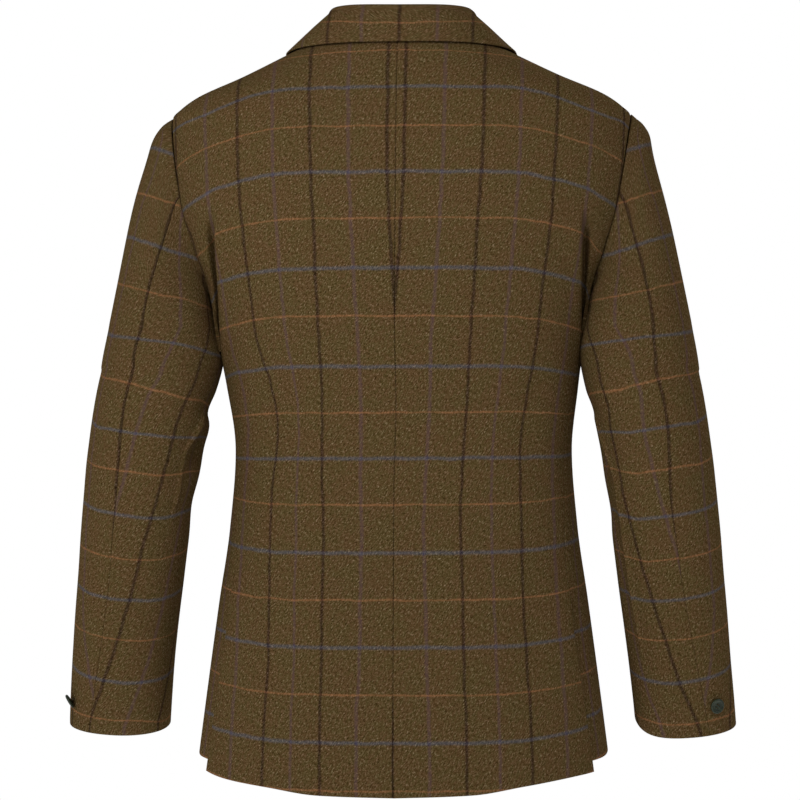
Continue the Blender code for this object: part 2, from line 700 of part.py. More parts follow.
def lapel_wall(under):
    """Outer and inner points of the left lapel; one under the other front starts beside it."""
    rows = [[lapel_place(share, along, under) for share in np.linspace(0.0, 1.0, LAPEL_ACROSS)]
            for along in np.linspace(0.0, 1.0, LAPEL_ROWS)]
    grid = np.array(rows)
    return grid[:, :, 0], grid[:, :, 1]


def lean(points):
    """Shift points of the lower body sideways."""
    share = ease((LEAN_TOP_Z - points[..., 2]) / (LEAN_TOP_Z - LEAN_FULL_Z))
    moved = points.copy()
    moved[..., 0] += LEAN * share
    moved[..., 2] -= LEAN_TURN * points[..., 0] * share
    return moved


def build_body_wall(name, outer, inner, mask=None, mirror=False):
    """Closed wall of a body panel, with the body's lean."""
    flip = np.array([-1.0 if mirror else 1.0, 1.0, 1.0])
    return build_wall(name, lean(outer * flip), lean(inner * flip), mask)


def build_wall(name, outer, inner, mask=None, mirror=False):
    """Closed wall between two grids of points."""
    rows, columns = outer.shape[:2]
    if mask is None:
        mask = np.ones((rows - 1, columns - 1), dtype=bool)
    if mirror:
        outer = outer * np.array([-1.0, 1.0, 1.0])
        inner = inner * np.array([-1.0, 1.0, 1.0])
    mesh_data = bmesh.new()
    made = {}

    def corner(layer, row, column):
        key = (layer, row, column)
        if key not in made:
            made[key] = mesh_data.verts.new((outer, inner)[layer][row, column])
        return made[key]

    edges = set()
    for row in range(rows - 1):
        for column in range(columns - 1):
            if not mask[row, column]:
                continue
            ring = [(row, column), (row, column + 1), (row + 1, column + 1), (row + 1, column)]
            mesh_data.faces.new([corner(0, *place) for place in ring])
            mesh_data.faces.new([corner(1, *place) for place in reversed(ring)])
            edges.update(zip(ring, ring[1:] + ring[:1]))
    for start, end in edges:
        if (end, start) not in edges:
            mesh_data.faces.new([corner(0, *end), corner(0, *start), corner(1, *start),
                                 corner(1, *end)])
    bmesh.ops.recalc_face_normals(mesh_data, faces=mesh_data.faces[:])
    return add_object(name, mesh_data, make_material(name, TWEED, TWEED_ROUGHNESS))


def add_object(name, mesh_data, material):
    """Put finished mesh data into the scene under its own name."""
    mesh = bpy.data.meshes.new(name)
    mesh_data.to_mesh(mesh)
    mesh_data.free()
    mesh.materials.append(material)
    mesh.shade_smooth()
    mesh.set_sharp_from_angle(angle=SHARP_EDGE)
    item = bpy.data.objects.new(name, mesh)
    bpy.context.scene.collection.objects.link(item)
    return item


def make_material(name, colour, roughness):
    """Plain material of one colour."""
    material = bpy.data.materials.new(name)
    material.use_nodes = True
    shader = material.node_tree.nodes["Principled BSDF"]
    shader.inputs["Base Color"].default_value = (*colour, 1.0)
    shader.inputs["Roughness"].default_value = roughness
    shader.inputs["Metallic"].default_value = 0.0
    return material


def add_button(name, radius, place, facing):
    """Turned button lying on a panel, its face along the given direction."""
    mesh_data = bmesh.new()
    outline = [mesh_data.verts.new((r * radius, 0.0, h * radius)) for r, h in BUTTON_OUTLINE]
    lines = [mesh_data.edges.new(pair) for pair in zip(outline, outline[1:])]
    bmesh.ops.spin(mesh_data, geom=outline + lines, axis=(0.0, 0.0, 1.0), cent=(0.0, 0.0, 0.0),
                   angle=2 * math.pi, steps=BUTTON_SIDES, use_duplicate=False)
    bmesh.ops.remove_doubles(mesh_data, verts=mesh_data.verts[:], dist=1e-6)
    bmesh.ops.recalc_face_normals(mesh_data, faces=mesh_data.faces[:])
    item = add_object(name, mesh_data, make_material(name, BUTTON_GREEN, BUTTON_ROUGHNESS))
    item.rotation_mode = "QUATERNION"
    item.rotation_quaternion = to_quaternion(facing)
    item.location = place
    return item


def to_quaternion(facing):
    """Turn that brings +Z to a direction."""
    return Vector((0.0, 0.0, 1.0)).rotation_difference(Vector(facing))


def add_front_buttons():
    """Buttons down the centre front, on the overlapping front."""
    for number, z in enumerate(FRONT_BUTTON_Z, start=1):
        ring = BodyRing(z)
        walk = np.array([ring.walk_to_front_x(0.0)])
        normal = body_normal(z, walk)[0]
        place = lean(ring.point(walk)[0] + normal * (FRONT_LIFT + BUTTON_CLEAR))
        add_button(f"front_button_{number}", FRONT_BUTTON_RADIUS, place, normal)


def add_cuff_buttons():
    """One button on the outer side of each cuff."""
    for side, angle in CUFF_BUTTON_ANGLES:
        place = tube_point(CUFF_BUTTON_Z, angle)
        along = tube_point(CUFF_BUTTON_Z, angle + 1.0) - tube_point(CUFF_BUTTON_Z, angle - 1.0)
        up = (tube_point(CUFF_BUTTON_Z + SECTION_REACH, angle)
              - tube_point(CUFF_BUTTON_Z - SECTION_REACH, angle))
        normal = unit(np.cross(along, up))
        place = place + normal * BUTTON_CLEAR
        if side == "right":
            place = place * np.array([-1.0, 1.0, 1.0])
            normal = normal * np.array([-1.0, 1.0, 1.0])
        add_button(f"cuff_button_{side}", CUFF_BUTTON_RADIUS, place, normal)


def clear_scene():
    """Start from an empty scene."""
    for item in list(bpy.data.objects):
        bpy.data.objects.remove(item, do_unlink=True)


def main():
    """Build every piece of the jacket."""
    clear_scene()
    back = back_panel()
    side_outer, side_inner, side_cells = side_panel()
    top_sleeve, under_sleeve = sleeve_walls()
    for name, mirror in (("left", False), ("right", True)):
        build_body_wall(f"back_{name}", *back, mirror=mirror)
        build_body_wall(f"side_{name}", side_outer, side_inner, side_cells, mirror)
        build_body_wall(f"front_{name}", *front_panel(not mirror), mirror=mirror)
        build_wall(f"sleeve_top_{name}", *top_sleeve, mirror=mirror)
        build_wall(f"sleeve_under_{name}", *under_sleeve, mirror=mirror)
        build_body_wall(f"lapel_{name}", *lapel_wall(mirror), mirror=mirror)
    build_wall("collar", *collar_wall())
    add_front_buttons()
    add_cuff_buttons()


main()
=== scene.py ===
"""Looks of the tweed riding jacket: cloth shells, tweed, buttons, stage, light and camera.

Metres in the part's own frame: +X is the wearer's left, +Y is behind the wearer, +Z is up, and the
origin lies at the base of the neck. The shells follow the forms of the solids, whose sizes are
repeated here, and add the finer folds, seams and edges.
"""
import math

import bmesh
import bpy
import numpy as np
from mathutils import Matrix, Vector


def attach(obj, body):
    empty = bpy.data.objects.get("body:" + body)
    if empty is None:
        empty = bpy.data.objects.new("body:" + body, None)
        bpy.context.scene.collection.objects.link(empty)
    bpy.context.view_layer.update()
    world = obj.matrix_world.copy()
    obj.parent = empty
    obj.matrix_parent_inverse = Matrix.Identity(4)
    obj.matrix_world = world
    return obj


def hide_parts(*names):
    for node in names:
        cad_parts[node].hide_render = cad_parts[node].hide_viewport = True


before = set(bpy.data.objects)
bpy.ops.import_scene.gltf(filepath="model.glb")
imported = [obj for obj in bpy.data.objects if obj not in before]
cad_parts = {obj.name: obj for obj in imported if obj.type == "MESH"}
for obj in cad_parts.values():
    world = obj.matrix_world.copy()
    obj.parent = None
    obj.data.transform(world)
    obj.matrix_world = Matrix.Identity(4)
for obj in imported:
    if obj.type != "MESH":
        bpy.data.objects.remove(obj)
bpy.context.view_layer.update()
BODY_NAME = "root"


def smooth(x, knots, values):
    """Cubic curve through a column of values, with no overshoot between its rows."""
    step = np.diff(knots)
    slope = np.diff(values) / step
    tangent = np.empty_like(values)
    tangent[0] = slope[0]
    tangent[-1] = slope[-1]
    product = slope[:-1] * slope[1:]
    total = slope[:-1] + slope[1:]
    safe = np.where(product > 0.0, total, 1.0)
    tangent[1:-1] = np.where(product > 0.0, 2.0 * product / safe, 0.0)
    x = np.clip(x, knots[0], knots[-1])
    k = np.clip(np.searchsorted(knots, x, side="right") - 1, 0, len(step) - 1)
    t = (x - knots[k]) / step[k]
    rise = values[k] * (1 + 2 * t) * (1 - t) ** 2 + values[k + 1] * t * t * (3 - 2 * t)
    return rise + step[k] * (tangent[k] * t * (1 - t) ** 2 - tangent[k + 1] * t * t * (1 - t))


class Table:
    """Rows of numbers or points with named columns, the first of which is the place along."""

    def __init__(self, columns, *rows):
        self.names = columns.split()
        self.rows = rows

    def column(self, name):
        """One column as an array."""
        return np.array([row[self.names.index(name)] for row in self.rows], dtype=float)

    def curve(self, name, x):
        """Smooth value of a column at places along."""
        return smooth(x, self.column(self.names[0]), self.column(name))


# Camera behind the jacket, for a square picture
VIEW_AZIMUTH = math.radians(184.0)
VIEW_DISTANCE = 2.1
VIEW_MIDDLE = np.array([0.0005, 0.0, -0.345])
VIEW_LENS = 94.5
VIEW_SENSOR = 36.0

# Cloth, seams and edges
CLOTH = 0.0022
SEAM_GAP = -0.0001
EDGE_STEPS = np.array([0.0, 0.0003, 0.0008, 0.0016, 0.0028])
EDGE_ROOM = 6
EDGE_FREE = 0.012
FAR_OFF = 1.0
ARM_ALLOWANCE = 0.0032
ARM_ALLOWANCE_DEPTH = 0.0006
# Kinds of edges: how far from the edge the cloth rounds in and how deep, outside and inside
EDGE_KINDS = {
    "seam": ((0.0026, 0.0009), (0.0026, 0.00045)),
    "armhole": ((0.0048, 0.0013), (0.0026, 0.00045)),
    "centre": ((0.0022, 0.0015), (0.0026, 0.00045)),
    "turned": ((0.0012, 0.0009), (0.0012, 0.0009)),
}

# Sides, and the way along X on which each lies
WAY = {"left": 1.0, "right": -1.0}

# Horizontal sections of the body from hem to neck seam: half width, depth behind and in front of
# the side line, and the power of the rounded oval (2 is an ellipse).
BODY = Table(
    "z half_width back front power",
    (-0.725, 0.2075, 0.1270, 0.1280, 2.50),
    (-0.645, 0.1972, 0.1200, 0.1260, 2.50),
    (-0.545, 0.1838, 0.1080, 0.1210, 2.50),
    (-0.470, 0.1732, 0.0950, 0.1165, 2.45),
    (-0.395, 0.1678, 0.0885, 0.1150, 2.45),
    (-0.330, 0.1755, 0.0960, 0.1180, 2.45),
    (-0.285, 0.1832, 0.1040, 0.1215, 2.40),
    (-0.235, 0.1925, 0.1110, 0.1235, 2.35),
    (-0.197, 0.2098, 0.1145, 0.1225, 2.30),
    (-0.150, 0.2250, 0.1145, 0.1170, 2.30),
    (-0.100, 0.2300, 0.1075, 0.1050, 2.25),
    (-0.063, 0.2285, 0.0970, 0.0930, 2.20),
    (-0.055, 0.2210, 0.0945, 0.0900, 2.20),
    (-0.044, 0.2055, 0.0905, 0.0855, 2.20),
    (-0.024, 0.1600, 0.0825, 0.0765, 2.20),
    (-0.005, 0.1205, 0.0740, 0.0670, 2.20),
    (0.014, 0.0820, 0.0620, 0.0550, 2.10),
)
NECK_Z = 0.014
LOW_TABLE_Z = -0.740
FINE_TABLE_Z = -0.100
TABLE_STEP = 0.002
FINE_TABLE_STEP = 0.0005
RING_ANGLES = np.radians(np.linspace(-12.0, 205.0, 869))
RING_SHARES = np.linspace(-0.06, 1.10, 1161)
NORMAL_REACH = 0.0008
HALVINGS = 40
FRONT_SHARE = 0.5
BACK_SHARE = 0.45

# Below the armholes the body hangs a little to the wearer's right
LEAN = -0.003
LEAN_TOP_Z = -0.260
LEAN_FULL_Z = -0.380
LEAN_TURN = 0.0086

# Armhole, an oval in the side view, in steps of 15 degrees
ARM_TOP_Z = -0.063
ARM_LOW_Z = -0.253
ARM_MID_Z = (ARM_TOP_Z + ARM_LOW_Z) / 2
ARM_HALF_Z = (ARM_TOP_Z - ARM_LOW_Z) / 2
ARM_MID_Y = -0.008
ARM_BACK = 0.0495
ARM_FRONT = 0.058
ARM_STEPS = 24
SIDE_BACK_STEP = 9
SIDE_FRONT_STEP = 15
ARM_EDGE_TURN = 0.02

# Side seams below the armhole, as places front to back
SIDE_SEAMS = Table(
    "z back_y front_y",
    (-0.725, 0.0655, -0.0720),
    (-0.645, 0.0640, -0.0672),
    (-0.575, 0.0620, -0.0630),
    (-0.525, 0.0560, -0.0600),
    (-0.395, 0.0340, -0.0520),
)

# Heights of hems and vents
VENT_TOP_Z = -0.520
VENT_FULL_Z = -0.545
HEM_LEVEL = -0.700
HEM_SIDE_BACK = -0.6950
HEM_SIDE_FRONT = -0.6910
HEM_FRONT = -0.7080
VENT_TUCK = CLOTH + 0.0012
VENT_TUCK_REACH = 0.030
VENT_UNDERLAP = 0.028
VENT_LIFT = 0.0012
VENT_LIFT_FROM_SHARE = 0.6
# Hem of the back from the centre seam to the vent
HEM_BACK = Table(
    "share left right",
    (0.00, -0.7196, -0.7196),
    (0.36, -0.7181, -0.7173),
    (0.60, -0.7128, -0.7110),
    (0.88, -0.7080, -0.7056),
    (1.00, -0.7050, -0.7046),
)

# Fronts, lapels and neck opening
FRONT_LAP = 0.020
FRONT_LIFT = CLOTH + 0.0010
FRONT_LIFT_FROM = 0.052
FRONT_LIFT_FULL = 0.024
BREAK_Z = -0.272
ROLL_GORGE = (0.0575, -0.014)
ROLL_NECK_X = 0.064
QUARTER_RADIUS = 0.105
QUARTER_REACH = 0.082
FRONT_HEM_SHARE = 0.625
LAPEL = Table(
    "z width",
    (-0.272, 0.000), (-0.225, 0.031), (-0.170, 0.055), (-0.110, 0.071),
    (-0.066, 0.078), (-0.014, 0.086),
)
LAPEL_POINT_Z = -0.066
LAPEL_START = BREAK_Z + 0.008
LAPEL_START_UNDER = -0.2365
LAPEL_CLEAR = 0.0026
LAPEL_ROLL_RISE = 0.0035
LAPEL_ROLL_REACH = 0.012
LAPEL_TUCK_CLEAR = 0.004
LAPEL_GORGE_GAP = 0.0012
LAPEL_UNDER_GAP = 0.0006
LAPEL_ROLL_LEAST = 0.25
LAPEL_ROLL_SHARE = 0.35

# Upright fold of the back over each shoulder blade: place across, heights over which it comes and
# goes, and the ridge and the drop beside it
BLADE_X = {"left": 0.1765, "right": 0.1803}
BLADE_HEIGHTS = (-0.345, -0.285, -0.198, -0.158)
BLADE_RIDGE = 0.0030
BLADE_RIDGE_BACK = 0.006
BLADE_RIDGE_WIDTH = 0.010
BLADE_GROOVE = 0.0160
BLADE_GROOVE_REACH = {"left": 0.0062, "right": 0.0046}
BLADE_DROP = 0.0080
BLADE_STEP = 0.003
BLADE_REACH = 0.018
BLADE_EDGE_REACH = 0.007

# Sleeve sections from the underarm to the cuff: centre, half width sideways, half depth
SLEEVE = Table(
    "z x y half_width half_depth",
    (-0.670, 0.2850, -0.014, 0.0505, 0.0460),
    (-0.645, 0.2829, -0.011, 0.0508, 0.0470),
    (-0.605, 0.2786, -0.003, 0.0512, 0.0485),
    (-0.565, 0.2741, 0.004, 0.0520, 0.0500),
    (-0.525, 0.2693, 0.011, 0.0528, 0.0520),
    (-0.485, 0.2649, 0.017, 0.0537, 0.0540),
    (-0.445, 0.2596, 0.021, 0.0550, 0.0560),
    (-0.405, 0.2541, 0.024, 0.0562, 0.0580),
    (-0.365, 0.2488, 0.024, 0.0559, 0.0600),
    (-0.345, 0.2447, 0.023, 0.0567, 0.0610),
    (-0.325, 0.2391, 0.020, 0.0586, 0.0620),
    (-0.268, 0.2382, 0.008, 0.0524, 0.0640),
)
SLEEVE_TOP_Z = -0.268
SLEEVE_CUFF_Z = -0.670
SLEEVE_POWER = 2.15
SLEEVE_SLANT_REACH = 0.060
SECTION_REACH = 0.014
SLEEVE_MIDDLE = (0.25, 0.005)
# Sleeve head: angles at which it leaves the armhole, all round and at its top, then its curve, roll
# and bump
CAP_LEAVE = math.radians(42.0)
HEAD_LEAVE = {"left": math.radians(38.0), "right": math.radians(30.0)}
CAP_SWEEP = 1.5
CAP_EDGE_SHARES = (0.0, 0.002, 0.005, 0.010, 0.017)
CAP_START_PULL = 0.48
CAP_END_PULL = 0.70
HEAD_TOP_POWER = 3
HEAD_ROLL = 0.0105
HEAD_PLACE = 0.10
HEAD_SPREAD = 0.15
HEAD_RISE_SHARE = 0.055
HEAD_BUMP = {"left": 0.0030, "right": 0.0038}
HEAD_BUMP_RISE = 0.012
HEAD_BUMP_SPREAD = 0.07

# Sleeve seams as angles round the sleeve: 0 is outwards, 90 is behind, 180 is inwards
HIND_SEAM = Table(
    "z left right",
    (-0.670, 62.0, 68.0),
    (-0.620, 69.0, 74.0),
    (-0.560, 75.0, 80.0),
    (-0.500, 78.0, 84.0),
    (-0.440, 78.0, 86.0),
    (-0.375, 76.0, 81.0),
    (-0.345, 75.0, 80.0),
    (-0.300, 78.0, 82.0),
    (-0.268, 82.5, 82.5),
)
HIND_STEP = 5.5
FORE_ANGLE = 240.0
FORE_STEP = 16

# Soft folds of the sleeve and bulges that fit each one to its outline: height and angle of the middle,
# half sizes, then the depth of a fold or the height of a bulge
BULGE_COLUMNS = "z angle half_height half_angle size"
SLEEVE_FOLDS = (
    (-0.392, 165.0, 0.030, 38.0, 0.0035),
    (-0.440, 200.0, 0.026, 40.0, 0.0040),
    (-0.505, 300.0, 0.030, 45.0, 0.0035),
)
SLEEVE_FIT = {
    "left": (
        (-0.130, 0.0, 0.070, 60.0, 0.0038),
        (-0.250, 140.0, 0.035, 30.0, 0.0050),
        (-0.300, 180.0, 0.020, 35.0, 0.0050),
        (-0.334, 180.0, 0.015, 35.0, -0.0052),
        (-0.364, 180.0, 0.018, 35.0, 0.0040),
        (-0.400, 180.0, 0.040, 40.0, 0.0026),
        (-0.580, 180.0, 0.100, 50.0, -0.0020),
        (-0.620, 0.0, 0.110, 60.0, 0.0018),
    ),
    "right": (
        (-0.125, 0.0, 0.085, 60.0, -0.0036),
        (-0.220, 0.0, 0.060, 60.0, -0.0020),
        (-0.380, 0.0, 0.140, 60.0, -0.0025),
        (-0.620, 0.0, 0.100, 60.0, -0.0020),
        (-0.250, 140.0, 0.035, 30.0, 0.0060),
        (-0.290, 180.0, 0.022, 35.0, 0.0050),
        (-0.333, 180.0, 0.016, 35.0, -0.0042),
        (-0.370, 180.0, 0.020, 35.0, 0.0012),
    ),
}

# Rise of the cuff's edge round the sleeve: angle of the middle, half angle and height
CUFF_RISE_COLUMNS = "angle half_angle size"
CUFF_RISE = {
    "left": ((0.0, 70.0, -0.0050), (90.0, 60.0, -0.0025)),
    "right": ((190.0, 40.0, 0.0125), (260.0, 50.0, 0.0060)),
}
CUFF_RISE_FROM = -0.600

# Creases: both ends on the panel, depth inwards (less than 0 stands out) and half width. Places are
# distances from the centre back on the body and along the girth from the outer side on a sleeve.
CREASE_COLUMNS = "z_from place_from z_to place_to depth width"
CREASE_FADE = 0.45
BACK_CREASES = {
    "left": (
        (-0.300, 0.150, -0.420, 0.110, 0.0016, 0.016),
        (-0.330, 0.100, -0.430, 0.150, 0.0012, 0.014),
        (-0.440, 0.060, -0.700, 0.072, -0.0016, 0.030),
        (-0.430, 0.118, -0.700, 0.132, 0.0018, 0.024),
        (-0.050, 0.100, -0.200, 0.125, -0.0012, 0.030),
        (-0.380, 0.020, -0.480, 0.060, 0.0009, 0.016),
    ),
    "right": (
        (-0.290, 0.148, -0.400, 0.120, 0.0014, 0.015),
        (-0.345, 0.110, -0.440, 0.146, 0.0013, 0.015),
        (-0.450, 0.070, -0.700, 0.080, -0.0015, 0.032),
        (-0.440, 0.128, -0.690, 0.140, 0.0017, 0.022),
        (-0.060, 0.095, -0.210, 0.120, -0.0012, 0.030),
        (-0.400, 0.015, -0.470, 0.075, 0.0008, 0.016),
    ),
}
FRONT_CREASES = {
    "left": (
        (-0.270, 0.400, -0.330, 0.330, 0.0020, 0.014),
        (-0.300, 0.390, -0.420, 0.330, 0.0014, 0.016),
        (-0.420, 0.350, -0.690, 0.356, -0.0018, 0.028),
        (-0.130, 0.330, -0.240, 0.318, 0.0020, 0.018),
    ),
    "right": (
        (-0.275, 0.405, -0.345, 0.335, 0.0018, 0.015),
        (-0.310, 0.392, -0.410, 0.322, 0.0015, 0.015),
        (-0.430, 0.345, -0.690, 0.350, -0.0018, 0.030),
        (-0.135, 0.335, -0.235, 0.320, 0.0018, 0.017),
    ),
}
SLEEVE_CREASES = {
    "left": (
        (-0.335, 0.166, -0.400, 0.134, -0.0036, 0.0028),
        (-0.370, 0.142, -0.470, 0.132, -0.0016, 0.0034),
        (-0.345, 0.178, -0.420, 0.151, 0.0044, 0.010),
        (-0.395, 0.190, -0.420, 0.100, 0.0016, 0.010),
        (-0.440, 0.185, -0.450, 0.105, 0.0014, 0.011),
        (-0.480, 0.080, -0.560, 0.120, 0.0010, 0.014),
        (-0.150, 0.070, -0.250, 0.110, 0.0014, 0.012),
        (-0.430, 0.000, -0.500, -0.050, 0.0014, 0.014),
    ),
    "right": (
        (-0.340, 0.164, -0.430, 0.136, -0.0036, 0.0028),
        (-0.385, 0.141, -0.620, 0.130, -0.0032, 0.0028),
        (-0.345, 0.176, -0.430, 0.153, 0.0044, 0.010),
        (-0.395, 0.155, -0.600, 0.146, 0.0032, 0.010),
        (-0.390, 0.186, -0.425, 0.105, 0.0015, 0.010),
        (-0.450, 0.185, -0.462, 0.110, 0.0013, 0.011),
        (-0.490, 0.070, -0.570, 0.115, 0.0010, 0.015),
        (-0.150, 0.072, -0.245, 0.112, 0.0014, 0.012),
        (-0.440, 0.000, -0.505, -0.055, 0.0014, 0.014),
    ),
}
# Length of cloth for each degree round the sleeve, by which its creases are placed
GIRTH_PER_DEGREE = 0.00096

# Collar stations from centre back to the front end: place along the neck seam, then points on the
# fold, part way down the fall (the notch at the front end) and on the fall's edge.
COLLAR = Table(
    "along fold mid edge",
    (0.00, (0.0000, 0.0590, 0.0385), (0.0000, 0.0695, 0.0190), (0.0000, 0.0750, 0.0010)),
    (0.13, (0.0228, 0.0560, 0.0392), (0.0300, 0.0658, 0.0198), (0.0385, 0.0714, 0.0014)),
    (0.26, (0.0455, 0.0470, 0.0405), (0.0590, 0.0550, 0.0210), (0.0735, 0.0578, 0.0018)),
    (0.44, (0.0655, 0.0210, 0.0420), (0.0835, 0.0280, 0.0235), (0.1045, 0.0300, 0.0014)),
    (0.56, (0.0690, -0.0020, 0.0415), (0.0910, -0.0020, 0.0215), (0.1150, 0.0000, 0.0008)),
    (0.76, (0.0640, -0.0400, 0.0265), (0.0915, -0.0440, 0.0110), (0.1180, -0.0440, -0.0088)),
    (1.00, (0.0590, -0.0745, -0.0120), (0.0890, -0.0780, -0.0340), (0.1100, -0.0695, -0.0285)),
)
NECK_PATH_STEPS = 120
SLOPE_PATH_STEPS = 30
COLLAR_FOLD_RADIUS = 0.0045
COLLAR_FOLD_SHARE = 0.45
COLLAR_STATIONS = 110
COLLAR_STAND_STEPS = 10
COLLAR_FOLD_STEPS = 12
COLLAR_FALL_COUNT = 18
COLLAR_FALL = 0.04
COLLAR_LENGTH = 0.2
COLLAR_END_SHARE = 0.02
COLLAR_HIGH_Z = 0.030
COLLAR_SHIFT = -0.0020
COLLAR_TILT = 0.012

# Buttons
FRONT_BUTTON_Z = (-0.288, -0.395, -0.502)
FRONT_BUTTON_RADIUS = 0.0105
CUFF_BUTTON_RADIUS = 0.0075
CUFF_BUTTON_Z = -0.6392
CUFF_BUTTON_ANGLE = 58.0
BUTTON_SIDES = 48
BUTTON_CLEAR = 0.0004
FRONT_BUTTON_SHANK = 0.0008
RIGHT_BUTTON_SHANK = 0.0016
LEFT_BUTTON_PLACE = (0.3298, 0.0180, -0.6462)
LEFT_BUTTON_FACING = (0.84, 0.14, -0.52)
LEFT_BUTTON_SHANK = 0.0040
# Turned outline of a button of radius 1: radius and height
BUTTON_OUTLINE = ((0.0, 0.0), (0.70, 0.0), (0.90, 0.04), (0.985, 0.11), (1.0, 0.18), (0.985, 0.26),
                  (0.93, 0.325), (0.86, 0.345), (0.78, 0.325), (0.70, 0.285), (0.62, 0.25),
                  (0.50, 0.235), (0.25, 0.23), (0.0, 0.23))
# Counts and sizes on a button of radius 1: face, holes, thread and shank
BUTTON_RINGS = 84
BUTTON_FACE_RADIUS = 0.62
HOLE_PLACES = ((0.20, 0.20), (-0.20, 0.20), (0.20, -0.20), (-0.20, -0.20))
HOLE_RADIUS = 0.085
HOLE_WALL = 0.030
HOLE_DEPTH = 0.14
STRAND_RADIUS = 0.055
STRAND_LOW = 0.15
STRAND_ARCH = 0.13
SHANK_RADIUS = 0.15
STRAND_SIDES = 8
STRAND_STEPS = 11
STRAND_END = 1.0 - 1e-9
STRAND_ARCH_POWER = 0.4
STRAND_ASIDE = (0.31, 0.17, 0.94)
SHANK_TOP = 0.02
# Points of a button closer together than this are joined
MERGE_DISTANCE = 1e-6
# Worked buttonholes
BUTTONHOLE_X = 0.0105
BUTTONHOLE_HALF = (0.0100, 0.0012)
BUTTONHOLE_STRAND = 0.0007
BUTTONHOLE_STEPS = 49
BUTTONHOLE_ENDS = 2.2
BUTTONHOLE_LIFT = 0.0002

# Grid counts of the shells, and rough widths and lengths that space their columns and rows
LOW_ROW_STEP = 0.003
HIGH_ROW_STEP = 0.0011
BACK_COLUMNS = 110
FRONT_COLUMNS = 64
SIDE_PANEL_COLUMNS = 30
UNDERLAP_COLUMNS = 8
CAP_ROWS = 64
TUBE_ROWS = 140
TOP_SLEEVE_COLUMNS = 70
UNDER_SLEEVE_COLUMNS = 84
SLEEVE_PANEL_WIDTH = 0.19
LAPEL_ROWS = 90
LAPEL_ACROSS = 26
LAPEL_ROLL_STEPS = 12
FRONT_WIDTH = 0.25
SIDE_WIDTH = 0.1
LAPEL_LENGTH = 0.24
LAPEL_WIDTH = 0.07
# Shares of the columns of a back panel, and how far across it they reach: close near the blade fold
BACK_SPREAD = ((0.0, 0.35, 0.92, 1.0), (0.0, 0.74, 0.97, 1.0))
# The same for an under sleeve: close near the ridge behind the inner side
UNDER_SPREAD = ((0.0, 0.20, 0.70, 1.0), (0.0, 0.32, 0.58, 1.0))
EVEN_SPREAD = ((0.0, 1.0), (0.0, 1.0))

# Windowpane check: dark and lilac lines along the cloth, rust and blue ones across it
WARP_PERIOD = 0.074
WEFT_PERIOD = 0.0905
WEFT_ZERO_Z = -0.345
WEFT_RUST_AT = -0.0098

# Dark lines of the back: place of the cloth at the centre seam, then distances of the first and
# the second dark line from the centre seam
BACK_WARP = Table(
    "z centre first second",
    (-0.690, 0.0005, 0.0700, 0.1305),
    (-0.640, 0.0010, 0.0695, 0.1290),
    (-0.603, 0.0040, 0.0680, 0.1265),
    (-0.515, 0.0060, 0.0670, 0.1245),
    (-0.471, 0.0070, 0.0660, 0.1240),
    (-0.427, 0.0060, 0.0675, 0.1220),
    (-0.381, 0.0050, 0.0690, 0.1205),
    (-0.337, 0.0040, 0.0705, 0.1260),
    (-0.289, 0.0030, 0.0725, 0.1390),
    (-0.239, -0.0010, 0.0755, 0.1460),
    (-0.195, -0.0045, 0.0775, 0.1505),
    (-0.107, -0.0080, 0.0825, 0.1565),
    (-0.027, -0.0080, 0.0850, 0.1600),
)
# Lean of the first and the second dark lines towards the wearer's left
LINE_LEAN = Table(
    "z first second",
    (-0.720, 0.0000, -0.0025),
    (-0.600, 0.0008, -0.0025),
    (-0.520, 0.0015, 0.0000),
    (-0.450, 0.0024, 0.0000),
    (-0.380, 0.0028, -0.0020),
    (-0.330, 0.0015, -0.0030),
    (-0.270, 0.0005, 0.0000),
    (-0.100, 0.0000, 0.0000),
)
# Second dark line of the right side above the waist, and the third line of both sides, which keeps
# clear of the armhole's seam
RIGHT_LINE_SHIFT = 0.0025
RIGHT_LINE_REACH = 0.15
THIRD_LINE = {"left": 0.0861, "right": 0.0821}
THIRD_LINE_CLEAR = 0.0040
THIRD_LINE_AWAY = 0.012
THIRD_LINE_LEAVES = -0.185
THIRD_LINE_REACH = 0.03
THIRD_LINE_LEAST = 0.010
# Height over which the lines run straight up over the shoulders
STRIPE_LEVEL = -0.085
STRIPE_REACH = 0.030
# Shift of the centre back seam along the cloth towards the wearer's left
CENTRE_SEAM = Table(
    "z shift",
    (-0.690, 0.0015), (-0.560, 0.0022), (-0.430, 0.0030), (-0.340, 0.0000),
    (-0.240, -0.0022), (-0.130, -0.0030), (0.000, -0.0020),
)
# Shift of the lines across the back
BACK_WEFT_SHIFT = Table(
    "z shift",
    (-0.713, 0.0008), (-0.600, -0.0004), (-0.500, -0.0014), (-0.445, -0.0004),
    (-0.401, -0.0014), (-0.357, -0.0024), (-0.313, -0.0030), (-0.265, 0.0004),
    (-0.223, 0.0008), (-0.175, 0.0028), (-0.131, 0.0016), (-0.085, 0.0022),
    (-0.045, -0.0023), (-0.030, -0.0024), (0.004, -0.0094), (0.014, -0.0105),
)
